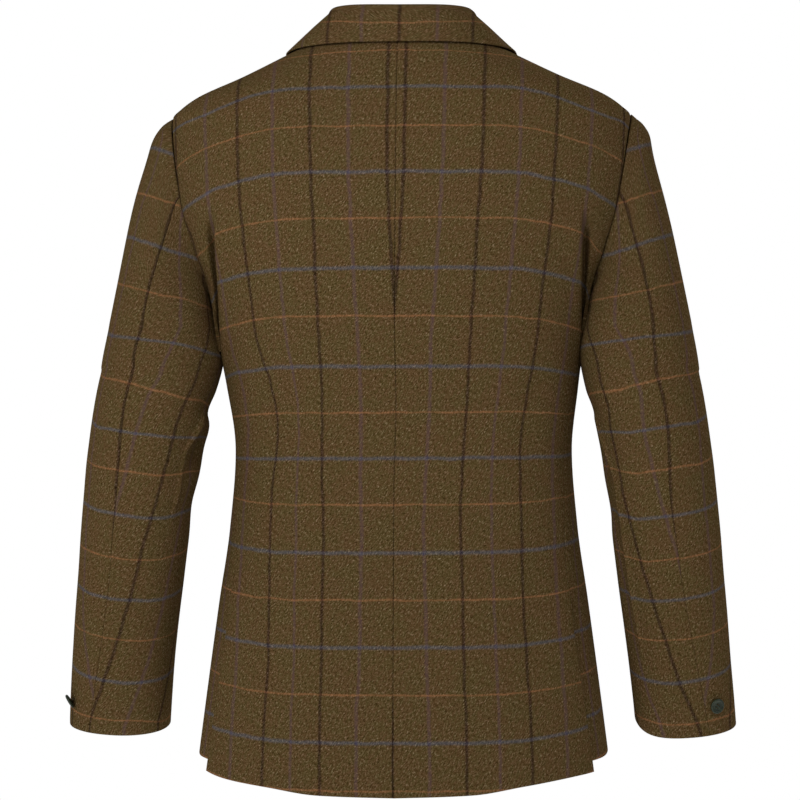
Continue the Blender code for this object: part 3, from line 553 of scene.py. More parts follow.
# Droop of the lines across the back towards its sides, then at the neck, the shoulders and past the
# blade folds
BACK_DROOP = Table(
    "z drop",
    (-0.720, -0.017), (-0.620, -0.013), (-0.450, -0.013), (-0.400, 0.000),
    (-0.360, 0.008), (-0.300, 0.020), (-0.220, 0.024), (-0.150, 0.030),
    (-0.060, 0.036), (0.014, 0.036),
)
DROOP_FROM = 0.105
DROOP_REACH = 0.140
DROOP_POWER = 1.5
NECK_DROOP = 0.0035
NECK_DROOP_AT = 0.1
NECK_DROOP_FROM = -0.030
NECK_DROOP_RISE = 0.030
SHOULDER_DROOP = 0.0070
SHOULDER_DROOP_AT = 0.200
SHOULDER_DROOP_REACH = 0.040
SHOULDER_DROOP_FROM = -0.100
SHOULDER_DROOP_RISE = 0.040
FOLD_DROOP = Table(
    "z drop",
    (-0.300, 0.000), (-0.250, 0.011), (-0.190, 0.009), (-0.150, 0.003),
    (-0.110, 0.000),
)
FOLD_DROOP_REACH = 0.022
# Shift and slope of the lines across the side panels
SIDE_WEFT_SHIFT = 0.0095
SIDE_SHIFT_FROM = -0.500
SIDE_SHIFT_FULL = -0.680
SIDE_WEFT_SLOPE = 0.10
FRONT_WARP_AT = 0.030
SIDE_WARP_AT = 0.020
LAPEL_WARP_AT = 0.050
COLLAR_WARP_AT = 0.0035
COLLAR_RUST_BELOW_FOLD = 0.0240
COLLAR_UPRIGHT = 49
COLLAR_LOW_LINE = -8

# Lines across the sleeve: height where each numbered line meets the middle of the sleeve
SLEEVE_WEFT = Table(
    "z line",
    (-0.700, 9.0), (-0.656, 8.0), (-0.571, 6.0), (-0.4915, 4.0),
    (-0.4125, 2.0), (-0.340, 0.0), (-0.240, -2.0), (-0.146, -4.0),
    (-0.045, -6.0), (0.005, -7.0),
)
# Slope of the lines across the sleeve head
CAP_SLOPE = Table(
    "z slope",
    (-0.335, 0.00), (-0.290, 0.18), (-0.240, 0.25), (-0.190, 0.33),
    (-0.060, 0.36),
)
CAP_SLOPE_MIDDLE_X = 0.238
# Lines along the sleeve: place of the cloth at the hind seam on the top sleeve, and angles of the
# dark line on the left and right under sleeves
SLEEVE_WARP = Table(
    "z top left_angle right_angle",
    (-0.665, 0.047, 63.0, 79.0),
    (-0.625, 0.034, 76.0, 91.0),
    (-0.583, 0.018, 88.0, 102.0),
    (-0.535, 0.006, 98.0, 113.0),
    (-0.464, 0.0010, 111.0, 128.0),
    (-0.404, -0.0012, 122.0, 136.0),
    (-0.368, -0.0012, 128.0, 139.0),
    (-0.335, -0.0012, 133.0, 133.0),
    (-0.302, -0.0012, 146.0, 142.0),
    (-0.275, -0.0012, 156.0, 155.0),
)
# Lines along the sleeve heads, which turn and draw together behind
HEAD_LINE_IN = 0.0012
HEAD_LINE_TURN = 700.0
HEAD_NARROW = 0.45
HEAD_NARROW_REACH = 0.13
HEAD_BEHIND_FROM = -30.0
HEAD_BEHIND_REACH = 60.0
HEAD_GIRTH_FROM = -240.0
HEAD_GIRTH_TO = 420.0
UNDER_HEAD_TURN = 120.0
UNDER_NEAR = 0.050
# Rise of the lines across the sleeve towards its inner and outer sides, and of all on the right one
SLEEVE_RISE = Table(
    "z left right outer all_right",
    (-0.660, -0.006, 0.002, 0.000, 0.002),
    (-0.625, 0.000, 0.002, 0.000, 0.005),
    (-0.520, 0.002, 0.004, 0.000, 0.003),
    (-0.475, 0.003, 0.005, 0.000, 0.0015),
    (-0.430, 0.005, 0.006, 0.003, 0.0015),
    (-0.385, 0.003, 0.005, 0.007, 0.005),
    (-0.345, 0.003, 0.006, 0.006, 0.004),
    (-0.300, -0.004, 0.003, 0.005, 0.003),
    (-0.240, -0.006, 0.000, 0.000, 0.000),
    (-0.190, -0.003, 0.000, 0.000, 0.000),
)
# Angles where those rises come in, and the sag of the lines behind the elbow
INNER_FROM = 110.0
INNER_REACH = 55.0
OUTER_FROM = 50.0
OUTER_REACH = 50.0
SLEEVE_SAG = 0.0028
SLEEVE_SAG_ZERO = 0.5
SLEEVE_SAG_FROM = -0.390
SLEEVE_SAG_FULL = -0.470

# Cloth coordinates of each shell: for the lines of the check and for the grain of the weave
UV_NAMES = ("check", "weave")
# Tweed: grains of the weave as slant, length, width, depth, detail and roughness, and shares of the
# first three of them in its tone
TWEED_GRAINS = (
    (58.0, 0.0032, 0.0012, 1.0, 1.5, 0.5),
    (15.0, 0.0022, 0.0013, 1.0, 1.5, 0.5),
    (0.0, 0.0011, 0.0011, 1.0, 1.0, 0.5),
    (58.0, 0.0060, 0.0030, 1.0, 2.0, 0.6),
)
FLECK_SHARE = 0.48
CROSS_SHARE = 0.27
FINE_SHARE = 0.25
PATCH_SCALE = 34.0
MOTTLE_STEP = (0.40, 0.60)
# Lines of the check: dark, lilac, rust and blue, each as half width, softness and its strength on dark
# and on pale flecks
CHECK_LINES = (
    (0.0017, 0.0012, 0.86, 0.68),
    (0.0017, 0.0010, 0.50, 0.29),
    (0.0008, 0.0008, 0.32, 0.64),
    (0.0016, 0.0014, 0.66, 0.52),
)
LINE_TONES = (0.38, 0.60)
# Sway of the lines as scale and reach, and patches of the cloth on which the rust line is weaker
LINE_SWAY = ((45.0, 0.0015), (620.0, 0.0010))
RUST_PATCHES = (0.36, 0.58, 0.65, 1.0)
# Colours: stops of the two grounds and the blue line by tone, and shades of the other lines
OLIVE = ((0.33, 42, 32, 8), (0.48, 79, 65, 36), (0.56, 93, 78, 50), (0.68, 142, 126, 98))
BROWN = ((0.33, 46, 30, 10), (0.48, 83, 63, 37), (0.56, 97, 75, 51), (0.68, 142, 120, 96))
SLATE = ((0.34, 51, 52, 59), (0.50, 80, 82, 90), (0.66, 114, 115, 119))
LILAC_LINE = (88, 66, 72)
CROSSING = (50, 50, 88)
RUST_LINE = (152, 104, 70)
DARK_LINE = (0.36, 0.31, 0.48, 1.0)
SHEEN_TINT = (150, 122, 84)
# Buttons, thread and floor: grain as slant, length, width, depth and detail, scale of noise, and stops
# of the colours
BUTTON_GRAIN = (20.0, 0.0070, 0.0014, 0.0030, 3.0)
BUTTON_PITS = 900.0
BUTTON_SHADES = ((0.30, 18, 24, 15), (0.55, 35, 44, 29), (0.80, 58, 68, 48))
THREAD_GRAIN = (35.0, 0.0012, 0.0003, 0.0006, 2.0)
THREAD_SHADES = ((0.32, 30, 25, 14), (0.68, 72, 60, 38))
STAGE_MOTTLE = 3.0
STAGE_SHADES = ((0.3, 0.90, 0.90, 0.90), (0.7, 0.92, 0.92, 0.92))

# Round floor below the jacket
STAGE_FLOOR_Z = -1.35
STAGE_RADIUS = 3.0
STAGE_SIDES = 128

# Lamps and the white surround, as it lights the jacket and as the camera sees it
LIGHT_COLUMNS = "name place size power"
LIGHTS = (
    ("key", (0.15, 1.1, 0.35), 0.7, 6.2),
    ("low_left", (1.2, 1.8, -0.3), 1.2, 12.0),
    ("right", (-1.3, 1.8, 0.5), 1.4, 4.7),
    ("left_side", (2.2, 0.3, 0.4), 1.4, 8.0),
    ("right_side", (-2.2, 0.3, 0.4), 1.4, 6.0),
    ("front_key", (-1.2, -2.2, 1.4), 1.0, 44.0),
    ("front_fill", (1.6, -2.3, 0.3), 2.2, 18.0),
)
WORLD_STRENGTH = 0.18
BACKDROP_STRENGTH = 1.0


def named_rows(rows, columns):
    """Rows of a table as dictionaries by column name."""
    return [dict(zip(columns.split(), row)) for row in rows]


def ease(t):
    """Soft step from 0 to 1."""
    t = np.clip(t, 0.0, 1.0)
    return t * t * (3.0 - 2.0 * t)


def fade(x, start, full):
    """Soft step from 0 at the start to 1 where it is full."""
    return ease((x - start) / (full - start))


def bell(x, width):
    """Soft bump of height 1 round zero."""
    return np.exp(-(x / width) ** 2)


def unit(v):
    """Vectors of length one."""
    return v / np.linalg.norm(v, axis=-1, keepdims=True)


def rounded(value, power):
    """Sine or cosine bent to a rounded oval of a power."""
    return np.sign(value) * np.abs(value) ** (2.0 / power)


def length_along(points, axis):
    """Length walked along an axis of a grid of points."""
    step = np.diff(points, axis=axis, prepend=np.take(points, [0], axis=axis))
    return np.cumsum(np.linalg.norm(step, axis=-1), axis=axis)


class BodyForm:
    """Form of the body, as distances walked at each height from centre back over the left side."""

    def __init__(self):
        coarse = np.arange(LOW_TABLE_Z, FINE_TABLE_Z, TABLE_STEP)
        fine = np.arange(FINE_TABLE_Z, NECK_Z + 2 * FINE_TABLE_STEP, FINE_TABLE_STEP)
        self.levels = np.concatenate((coarse, fine))
        half, back, front, power = (BODY.curve(name, self.levels)[:, None] for name in BODY.names[1:])
        cosine = np.cos(RING_ANGLES)[None]
        x = half * rounded(np.sin(RING_ANGLES)[None], power)
        y = np.where(cosine > 0.0, back, front) * rounded(cosine, power)
        walk = np.cumsum(np.hypot(np.diff(x, prepend=x[:, :1]), np.diff(y, prepend=y[:, :1])), axis=1)
        start = np.argmin(np.abs(RING_ANGLES))
        end = np.argmin(np.abs(RING_ANGLES - math.pi))
        walk = walk - walk[:, start:start + 1]
        self.half_girth = walk[:, end]
        share = walk / self.half_girth[:, None]
        self.tables = [np.array([np.interp(RING_SHARES, s, row) for s, row in zip(share, places)])
                       for places in (x, y)]

    def girth(self, z):
        """Distance from centre back to centre front."""
        return np.interp(z, self.levels, self.half_girth)

    def point(self, z, walk):
        """Points of the form at heights and distances from the centre back."""
        z, walk = np.broadcast_arrays(np.asarray(z, float), np.asarray(walk, float))
        row = np.interp(z, self.levels, np.arange(len(self.levels)))
        r = np.clip(row.astype(int), 0, len(self.levels) - 2)
        fr = row - r
        column = (walk / self.girth(z) - RING_SHARES[0]) / (RING_SHARES[1] - RING_SHARES[0])
        c = np.clip(column.astype(int), 0, len(RING_SHARES) - 2)
        fc = column - c
        x, y = ((1 - fr) * ((1 - fc) * t[r, c] + fc * t[r, c + 1])
                + fr * ((1 - fc) * t[r + 1, c] + fc * t[r + 1, c + 1]) for t in self.tables)
        return np.stack([x, y, z], axis=-1)

    def walk_until(self, z, axis, value, low_share, high_share, rises=False):
        """Distance from the centre back at which a coordinate has fallen or risen to a value."""
        z, value = np.broadcast_arrays(np.asarray(z, float), np.asarray(value, float))
        low = self.girth(z) * low_share
        high = self.girth(z) * high_share
        for _ in range(HALVINGS):
            middle = (low + high) / 2
            place = self.point(z, middle)[..., axis]
            beyond = place > value if rises else place < value
            low = np.where(beyond, low, middle)
            high = np.where(beyond, middle, high)
        return (low + high) / 2

    def walk_to_y(self, z, y):
        """Distance from the centre back to a place front to back, on the left side."""
        return self.walk_until(z, 1, y, 0.0, 1.0)

    def walk_to_front_x(self, z, x):
        """Distance from the centre back to a place across the front."""
        return self.walk_until(z, 0, x, FRONT_SHARE, RING_SHARES[-1])

    def walk_to_back_x(self, z, x):
        """Distance from the centre back to a place across the back."""
        return self.walk_until(z, 0, x, 0.0, BACK_SHARE, rises=True)

    def normal(self, z, walk):
        """Outward directions of the form."""
        along = self.point(z, walk + NORMAL_REACH) - self.point(z, walk - NORMAL_REACH)
        share = walk / self.girth(z)
        over, under = (self.point(level, share * self.girth(level))
                       for level in (z + NORMAL_REACH, z - NORMAL_REACH))
        return unit(np.cross(over - under, along))

    def raised(self, z, walk, lift):
        """Points lifted off the form."""
        return self.point(z, walk) + self.normal(z, walk) * np.asarray(lift)[..., None]


FORM = BodyForm()


def arm_level(step):
    """Height of a step round the armhole; step 0 is the shoulder tip."""
    return ARM_MID_Z + ARM_HALF_Z * np.cos(2 * math.pi * step / ARM_STEPS)


def arm_y(step):
    """Place front to back of a step round the armhole, which runs down behind first."""
    sine = np.sin(2 * math.pi * step / ARM_STEPS)
    return ARM_MID_Y + np.where(sine > 0.0, ARM_BACK, ARM_FRONT) * sine


def arm_step(z):
    """Step of the armhole at a height, on its rear half."""
    return np.arccos(np.clip((z - ARM_MID_Z) / ARM_HALF_Z, -1.0, 1.0)) * ARM_STEPS / (2 * math.pi)


def beside_armhole(z):
    """Heights between the ends of the side seams and the shoulder."""
    return (z > arm_level(SIDE_BACK_STEP)) & (z < ARM_TOP_Z)


def side_seam_y(z, name, top_step):
    """Place front to back of a side seam."""
    top_y = float(arm_y(top_step))
    seams = Table("z back_y front_y", *SIDE_SEAMS.rows, (float(arm_level(top_step)), top_y, top_y))
    return seams.curve(name, z)


def outer_edge_y(z, name, top_step, way):
    """Edge of a front or back panel away from its centre: side seam, armhole, shoulder seam."""
    edge = np.where(z < arm_level(SIDE_BACK_STEP), side_seam_y(z, name, top_step), arm_y(way * arm_step(z)))
    return np.where(z > ARM_TOP_Z, ARM_MID_Y, edge)


def stretch_to_hem(z, hem):
    """Rows below the vent top spread out to the local hem."""
    share = np.clip((VENT_TOP_Z - z) / (VENT_TOP_Z - HEM_LEVEL), 0.0, None)
    return np.where(z < VENT_TOP_Z, VENT_TOP_Z + share * (hem - VENT_TOP_Z), z)


def stations(start, end, count, spread=EVEN_SPREAD):
    """Places from start to end, close together at both ends; start and end may be arrays."""
    start = np.asarray(start, float)[..., None]
    span = np.asarray(end, float)[..., None] - start
    near = EDGE_STEPS * np.minimum(1.0, np.abs(span) / (EDGE_ROOM * EDGE_STEPS[-1])) * np.sign(span)
    reach = near[..., -1:]
    places = np.interp(np.linspace(0.0, 1.0, count + 2)[1:-1], *spread)
    inside = start + reach + (span - 2 * reach) * places
    return np.concatenate((start + near, inside, start + span - near[..., ::-1]), axis=-1)


def body_levels():
    """Heights of the rows of a front or back panel."""
    low = np.arange(HEM_LEVEL + EDGE_STEPS[-1], FINE_TABLE_Z, LOW_ROW_STEP)
    high = np.arange(FINE_TABLE_Z, NECK_Z - EDGE_STEPS[-1] / 2, HIGH_ROW_STEP)
    return np.concatenate((HEM_LEVEL + EDGE_STEPS[:-1], low, high, NECK_Z - EDGE_STEPS[::-1] / 2))


def grid_normals(grid):
    """Directions at right angles to a grid of points."""
    return unit(np.cross(np.gradient(grid, axis=1), np.gradient(grid, axis=0)))


def outward(grid, middle=(0.0, 0.0)):
    """Directions at right angles to a grid of points, away from an upright middle line."""
    normals = grid_normals(grid)
    return normals * np.sign(np.sum(normals[..., :2] * (grid[..., :2] - np.array(middle))))


def lean(points):
    """Shift points of the lower body sideways."""
    share = fade(points[..., 2], LEAN_TOP_Z, LEAN_FULL_Z)
    moved = points.copy()
    moved[..., 0] += LEAN * share
    moved[..., 2] -= LEAN_TURN * points[..., 0] * share
    return moved


def mirrored(points, side):
    """Points of the left side, or of the right one."""
    return points * np.array([WAY[side], 1.0, 1.0])


def crease_depth(z, place, creases):
    """Depth of creases, each a soft line between two places on a panel."""
    depth = np.zeros(np.broadcast(z, place).shape)
    for crease in named_rows(creases, CREASE_COLUMNS):
        run = crease["place_to"] - crease["place_from"]
        rise = crease["z_to"] - crease["z_from"]
        length = math.hypot(run, rise)
        aside = place - crease["place_from"]
        up = z - crease["z_from"]
        along = (aside * run + up * rise) / length ** 2
        across = (aside * rise - up * run) / length
        ends = ease(along / CREASE_FADE) * ease((1.0 - along) / CREASE_FADE)
        depth += crease["depth"] * ends * bell(across, crease["width"])
    return depth


def blade_fold(z, walk, end, side):
    """Lift of the back cloth along the blade fold, which drops sharply towards the armhole."""
    low, full_low, full_high, high = BLADE_HEIGHTS
    height = fade(z, low, full_low) * fade(z, high, full_high)
    away = walk - FORM.walk_to_back_x(z, BLADE_X[side])
    ridge = BLADE_RIDGE * bell(away + BLADE_RIDGE_BACK, BLADE_RIDGE_WIDTH)
    beyond = np.clip(away - BLADE_STEP, 0.0, None)
    drop = BLADE_GROOVE * bell(beyond, BLADE_GROOVE_REACH[side]) + BLADE_DROP * bell(beyond, BLADE_REACH)
    drop = drop * ease(away / BLADE_STEP + 0.5)
    return height * (ridge - drop * ease((end - walk) / BLADE_EDGE_REACH))


def cloth(u, v, way):
    """Cloth coordinates that run the same way on every panel, for the slant of the weave."""
    return np.stack([u * way, v], axis=-1)


def row_spacing(grid):
    """Sum of the distances from row to row, square to the rows, down each column of a grid."""
    along = unit(np.gradient(grid, axis=1))
    step = np.diff(grid, axis=0, prepend=grid[:1])
    step = step - along * np.sum(step * along, axis=-1, keepdims=True)
    return np.cumsum(np.linalg.norm(step, axis=2), axis=0)


def weave_places(grid, uv, hangs):
    """Even places for the weave along the check; a hanging panel counts from its last row."""
    down = row_spacing(grid)
    lengths = (down - down[-1:] if hangs else down, length_along(grid, 1))
    steps = [np.abs(np.diff(uv[..., 0], axis=k)).mean() for k in (0, 1)]
    along = 0 if steps[0] > steps[1] else 1
    axes = (along, 1 - along)
    signs = [np.sign(np.diff(uv[..., k], axis=axes[k]).mean()) for k in (0, 1)]
    return np.stack([signs[k] * lengths[axes[k]] for k in (0, 1)], axis=-1)


def finish_panel(name, grid, normals, uv, edges, mask=None, hangs=False, allowance=0.0):
    """Closed shell of a panel: cloth thickness, and edges that round in at each of its sides.

    Edges are (distance, kind) pairs. The allowance moves points of the inside on past a seam.
    """
    drops = np.zeros((2,) + grid.shape[:2])
    for distance, kind in edges:
        for k, (reach, drop) in enumerate(EDGE_KINDS[kind]):
            t = np.clip(1.0 - distance / reach, 0.0, 1.0)
            drops[k] = np.maximum(drops[k], drop * (1.0 - np.sqrt(1.0 - t * t)))
    outer = grid - normals * drops[0][..., None]
    inner = grid - normals * (CLOTH - drops[1])[..., None] + allowance
    return add_shell(f"{name}_cloth", outer, inner, (uv, weave_places(grid, uv, hangs)), mask)


def add_object(name, data):
    """New object in the scene."""
    item = bpy.data.objects.new(name, data)
    bpy.context.scene.collection.objects.link(item)
    return item


def add_shell(name, outer, inner, maps, mask=None):
    """Closed mesh between two grids of points, with the places of check and weave."""
    rows, columns = outer.shape[:2]
    if mask is None:
        mask = np.ones((rows - 1, columns - 1), dtype=bool)
    shift = rows * columns
    index = np.arange(shift).reshape(rows, columns)
    corners = (index[:-1, :-1], index[:-1, 1:], index[1:, 1:], index[1:, :-1])
    outside = np.stack(corners, axis=-1)[mask]
    faces = [outside, outside[:, ::-1] + shift]
    padded = np.pad(mask, 1)
    beside = (padded[:-2, 1:-1], padded[1:-1, 2:], padded[2:, 1:-1], padded[1:-1, :-2])
    for k, covered in enumerate(beside):
        rim = mask & ~covered
        a = corners[k][rim]
        b = corners[(k + 1) % 4][rim]
        faces.append(np.stack([b, a, a + shift, b + shift], axis=-1))
    faces = np.concatenate(faces)
    points = np.concatenate((outer.reshape(-1, 3), inner.reshape(-1, 3)))
    first = points[outside]
    facing = np.cross(first[:, 2] - first[:, 0], first[:, 3] - first[:, 1])
    if np.sum(facing * (first[:, 0] - points[outside[:, 0] + shift])) < 0.0:
        faces = faces[:, ::-1]
    used = np.unique(faces)
    place = np.zeros(len(points), dtype=int)
    place[used] = np.arange(len(used))
    mesh = bpy.data.meshes.new(name)
    mesh.from_pydata(points[used].tolist(), [], place[faces].tolist())
    corner = np.empty(len(mesh.loops), dtype=np.int32)
    mesh.loops.foreach_get("vertex_index", corner)
    for map_name, uv in zip(UV_NAMES, maps):
        layer = mesh.uv_layers.new(name=map_name)
        both = np.tile(uv.reshape(-1, 2), (2, 1))[used]
        layer.data.foreach_set("uv", both[corner].astype(np.float32).ravel())
    mesh.shade_smooth()
    mesh.validate()
    return add_object(name, mesh)


def profile_length(walk_share):
    """Length along the body from the zero height of the lines, up one line of the form."""
    levels = FORM.levels
    length = length_along(FORM.point(levels, FORM.girth(levels) * walk_share), 0)
    return levels, length - np.interp(WEFT_ZERO_Z, levels, length)


BACK_PROFILE = profile_length(0.0)
FRONT_PROFILE = profile_length(1.0)


def stripe_walk(z, walk):
    """Distances from the centre back, with the stripes kept upright over the shoulders."""
    level = np.full(np.shape(z), STRIPE_LEVEL)
    upright = FORM.walk_to_back_x(level, FORM.point(z, walk)[..., 0])
    return walk + (upright - walk) * ease((z - STRIPE_LEVEL) / STRIPE_REACH)


def back_cloth(z, walk, end, side):
    """Places along and across the cloth of the back, at distances from the centre seam."""
    centre, first, second = (BACK_WARP.curve(name, z) for name in BACK_WARP.names[1:])
    first = first + WAY[side] * LINE_LEAN.curve("first", z)
    second = second + WAY[side] * LINE_LEAN.curve("second", z)
    if side == "right":
        second = second - RIGHT_LINE_SHIFT * ease((z - LEAN_FULL_Z) / RIGHT_LINE_REACH)
    place = stripe_walk(z, walk)
    near = centre + (WARP_PERIOD - centre) * place / first
    middle = WARP_PERIOD * (1.0 + (place - first) / (second - first))
    half = WARP_PERIOD / 2
    beyond = place - second
    clear = THIRD_LINE_CLEAR - THIRD_LINE_AWAY * ease((z - THIRD_LINE_LEAVES) / THIRD_LINE_REACH)
    by_seam = np.where(z > arm_level(SIDE_BACK_STEP), stripe_walk(z, end) - clear - second, FAR_OFF)
    third = np.maximum(np.minimum(THIRD_LINE[side], by_seam), half + THIRD_LINE_LEAST)
    outer = np.where(beyond < half, beyond, half + (beyond - half) * half / (third - half))
    u = np.where(place < first, near, np.where(place < second, middle, 2 * WARP_PERIOD + outer))
    out = np.clip((walk - DROOP_FROM) / DROOP_REACH, 0.0, None)
    v = np.interp(z, *BACK_PROFILE) + BACK_DROOP.curve("drop", z) * out ** DROOP_POWER
    v = v - WEFT_RUST_AT - BACK_WEFT_SHIFT.curve("shift", z)
    v = v + (SHOULDER_DROOP * bell(walk - SHOULDER_DROOP_AT, SHOULDER_DROOP_REACH)
             * ease((z - SHOULDER_DROOP_FROM) / SHOULDER_DROOP_RISE))
    v = v + NECK_DROOP * (walk / NECK_DROOP_AT) ** 2 * ease((z - NECK_DROOP_FROM) / NECK_DROOP_RISE)
    past_fold = ease((walk - FORM.walk_to_back_x(z, BLADE_X[side])) / FOLD_DROOP_REACH)
    return u, v + FOLD_DROOP.curve("drop", z) * past_fold


def past_armhole(z, walk, way, side):
    """Way that the inside of a body panel reaches on past the armhole's edge, under the sleeve."""
    onward = unit(FORM.point(z, walk + way * SECTION_REACH) - FORM.point(z, walk))
    reach = onward * ARM_ALLOWANCE - FORM.normal(z, walk) * ARM_ALLOWANCE_DEPTH
    return mirrored(reach * beside_armhole(z)[:, None], side)


def add_back(piece, side):
    """Back panel from the centre seam to the side vent, armhole and shoulder."""
    level = body_levels()
    shift = CENTRE_SEAM.curve("shift", level) * WAY[side]
    start = shift + SEAM_GAP / 2
    end = FORM.walk_to_y(level, outer_edge_y(level, "back_y", SIDE_BACK_STEP, 1))
    walk = stations(start, end - SEAM_GAP / 2, BACK_COLUMNS, BACK_SPREAD)
    share = np.clip(walk / end[:, None], 0.0, 1.0)
    hem = HEM_BACK.curve(side, share)
    z = stretch_to_hem(level[:, None], hem)
    end = FORM.walk_to_y(z, outer_edge_y(z, "back_y", SIDE_BACK_STEP, 1)) - SEAM_GAP / 2
    start = start[:, None]
    walk = start + (end - start) * (walk - walk[:, :1]) / (walk[:, -1:] - walk[:, :1])
    lift = VENT_LIFT * fade(z, VENT_TOP_Z, VENT_FULL_Z) * fade(share, VENT_LIFT_FROM_SHARE, 1.0)
    lift = lift - crease_depth(z, walk, BACK_CREASES[side]) * ease((end - walk) / EDGE_FREE)
    grid = FORM.raised(z, walk, lift)
    grid[..., 1] += blade_fold(z, walk, end, side)
    grid = lean(mirrored(grid, side))
    at_arm = beside_armhole(z)
    at_vent = z < VENT_TOP_Z
    edges = ((walk - start, "centre"), (np.where(at_arm, end - walk, FAR_OFF), "armhole"),
             (np.where(at_vent, end - walk, FAR_OFF), "turned"),
             (np.where(at_arm | at_vent, FAR_OFF, end - walk), "seam"),
             (z - hem, "turned"), (NECK_Z - z, "seam"))
    uv = cloth(*back_cloth(z, walk - shift[:, None], end, side), -WAY[side])
    allowance = np.zeros(grid.shape)
    allowance[:, -1] = past_armhole(z[:, -1], end[:, -1], 1.0, side)
    return finish_panel(f"{piece}_{side}", grid, outward(grid), uv, edges, allowance=allowance)


def roll_x(z):
    """Roll line of the lapel, from the break up to the neck."""
    top_x, top_z = ROLL_GORGE
    lower = -FRONT_LAP + (top_x + FRONT_LAP) * (z - BREAK_Z) / (top_z - BREAK_Z)
    upper = top_x + (ROLL_NECK_X - top_x) * (z - top_z) / (NECK_Z - top_z)
    return np.where(z < top_z, lower, upper)


def front_edge_x(z):
    """Inner edge of the front: rounded quarter, overlap, then the roll line."""
    drop = np.clip((HEM_FRONT + QUARTER_RADIUS - z) / QUARTER_RADIUS, 0.0, 1.0)
    quarter = -FRONT_LAP + QUARTER_REACH * (1.0 - np.sqrt(1.0 - drop * drop))
    return np.where(z > BREAK_Z, roll_x(z), quarter)


def front_lift(x):
    """Lift of the overlapping front near the centre line."""
    return FRONT_LIFT * fade(x, FRONT_LIFT_FROM, FRONT_LIFT_FULL)


def add_front(piece, side):
    """Front panel from the side seam to the front edge; the left one overlaps."""
    share = stations(0.0, FRONT_WIDTH, FRONT_COLUMNS) / FRONT_WIDTH
    hem = HEM_SIDE_FRONT + (HEM_FRONT - HEM_SIDE_FRONT) * ease(share / FRONT_HEM_SHARE)
    z = stretch_to_hem(body_levels()[:, None], hem)
    start = FORM.walk_to_y(z[:, 0], outer_edge_y(z[:, 0], "front_y", SIDE_FRONT_STEP, -1)) + SEAM_GAP / 2
    end = FORM.walk_to_front_x(z[:, -1], front_edge_x(z[:, -1]))
    walk = start[:, None] + (end - start)[:, None] * share
    lift = -crease_depth(z, walk, FRONT_CREASES[side]) * ease((walk - start[:, None]) / EDGE_FREE)
    if side == "left":
        lift = lift + front_lift(FORM.point(z, walk)[..., 0])
    grid = lean(mirrored(FORM.raised(z, walk, lift), side))
    edges = ((walk - start[:, None], "seam"), (end[:, None] - walk, "turned"),
             (z - hem, "turned"), (NECK_Z - z, "seam"))
    v = np.interp(z, *FRONT_PROFILE) - WEFT_RUST_AT
    uv = cloth(FORM.girth(z) - walk + FRONT_WARP_AT, v, WAY[side])
    allowance = np.zeros(grid.shape)
    allowance[:, 0] = past_armhole(z[:, 0], start, -1.0, side)
    return finish_panel(f"{piece}_{side}", grid, outward(grid), uv, edges, allowance=allowance)


def add_side(piece, side):
    """Side panel with the underlap of its vent."""
    top = arm_level(SIDE_BACK_STEP)
    low = np.arange(HEM_LEVEL + EDGE_STEPS[-1], top - EDGE_STEPS[-1], LOW_ROW_STEP)
    level = np.concatenate((HEM_LEVEL + EDGE_STEPS[:-1], low, top - EDGE_STEPS[::-1]))[:, None]
    inside = stations(0.0, SIDE_WIDTH, SIDE_PANEL_COLUMNS) / SIDE_WIDTH
    lap = -stations(VENT_UNDERLAP, 0.0, UNDERLAP_COLUMNS)[:-1]
    share = np.concatenate((np.zeros(len(lap)), inside))
    reach = np.concatenate((lap, np.zeros(len(inside))))
    step = SIDE_BACK_STEP + (SIDE_FRONT_STEP - SIDE_BACK_STEP) * share
    hem = HEM_SIDE_BACK + (HEM_SIDE_FRONT - HEM_SIDE_BACK) * share
    z = stretch_to_hem(level, hem)
    near_arm = fade(z, VENT_TOP_Z, top)
    z = z + (arm_level(step) - top) * near_arm
    back = FORM.walk_to_y(z, side_seam_y(z, "back_y", SIDE_BACK_STEP)) + SEAM_GAP / 2
    front = FORM.walk_to_y(z, side_seam_y(z, "front_y", SIDE_FRONT_STEP)) - SEAM_GAP / 2
    ends = arm_y(np.array([SIDE_BACK_STEP, SIDE_FRONT_STEP]))
    top_share = (arm_y(step) - ends[0]) / (ends[1] - ends[0])
    walk = back + (front - back) * (share + (top_share - share) * near_arm) + reach
    tucked = fade(z, VENT_TOP_Z, VENT_FULL_Z) * (1.0 - ease((walk - back) / VENT_TUCK_REACH))
    grid = lean(mirrored(FORM.raised(z, walk, -VENT_TUCK * tucked), side))
    mask = np.ones((len(level) - 1, len(share) - 1), dtype=bool)
    mask[level[1:, 0] > VENT_FULL_Z, :len(lap)] = False
    free = np.where(level <= VENT_FULL_Z, walk - (back - VENT_UNDERLAP), FAR_OFF)
    seam = np.where(level > VENT_FULL_Z, np.abs(walk - back), FAR_OFF)
    edges = ((free, "turned"), (seam, "seam"), (front - walk, "seam"), (z - hem, "turned"),
             (top - level, "seam"))
    shift = SIDE_WEFT_SHIFT * fade(z, SIDE_SHIFT_FROM, SIDE_SHIFT_FULL)
    v = back_cloth(z, back, back, side)[1] - shift - SIDE_WEFT_SLOPE * (walk - back)
    uv = cloth(walk - back + SIDE_WARP_AT, v, -WAY[side])
    return finish_panel(f"{piece}_{side}", grid, outward(grid), uv, edges, mask)


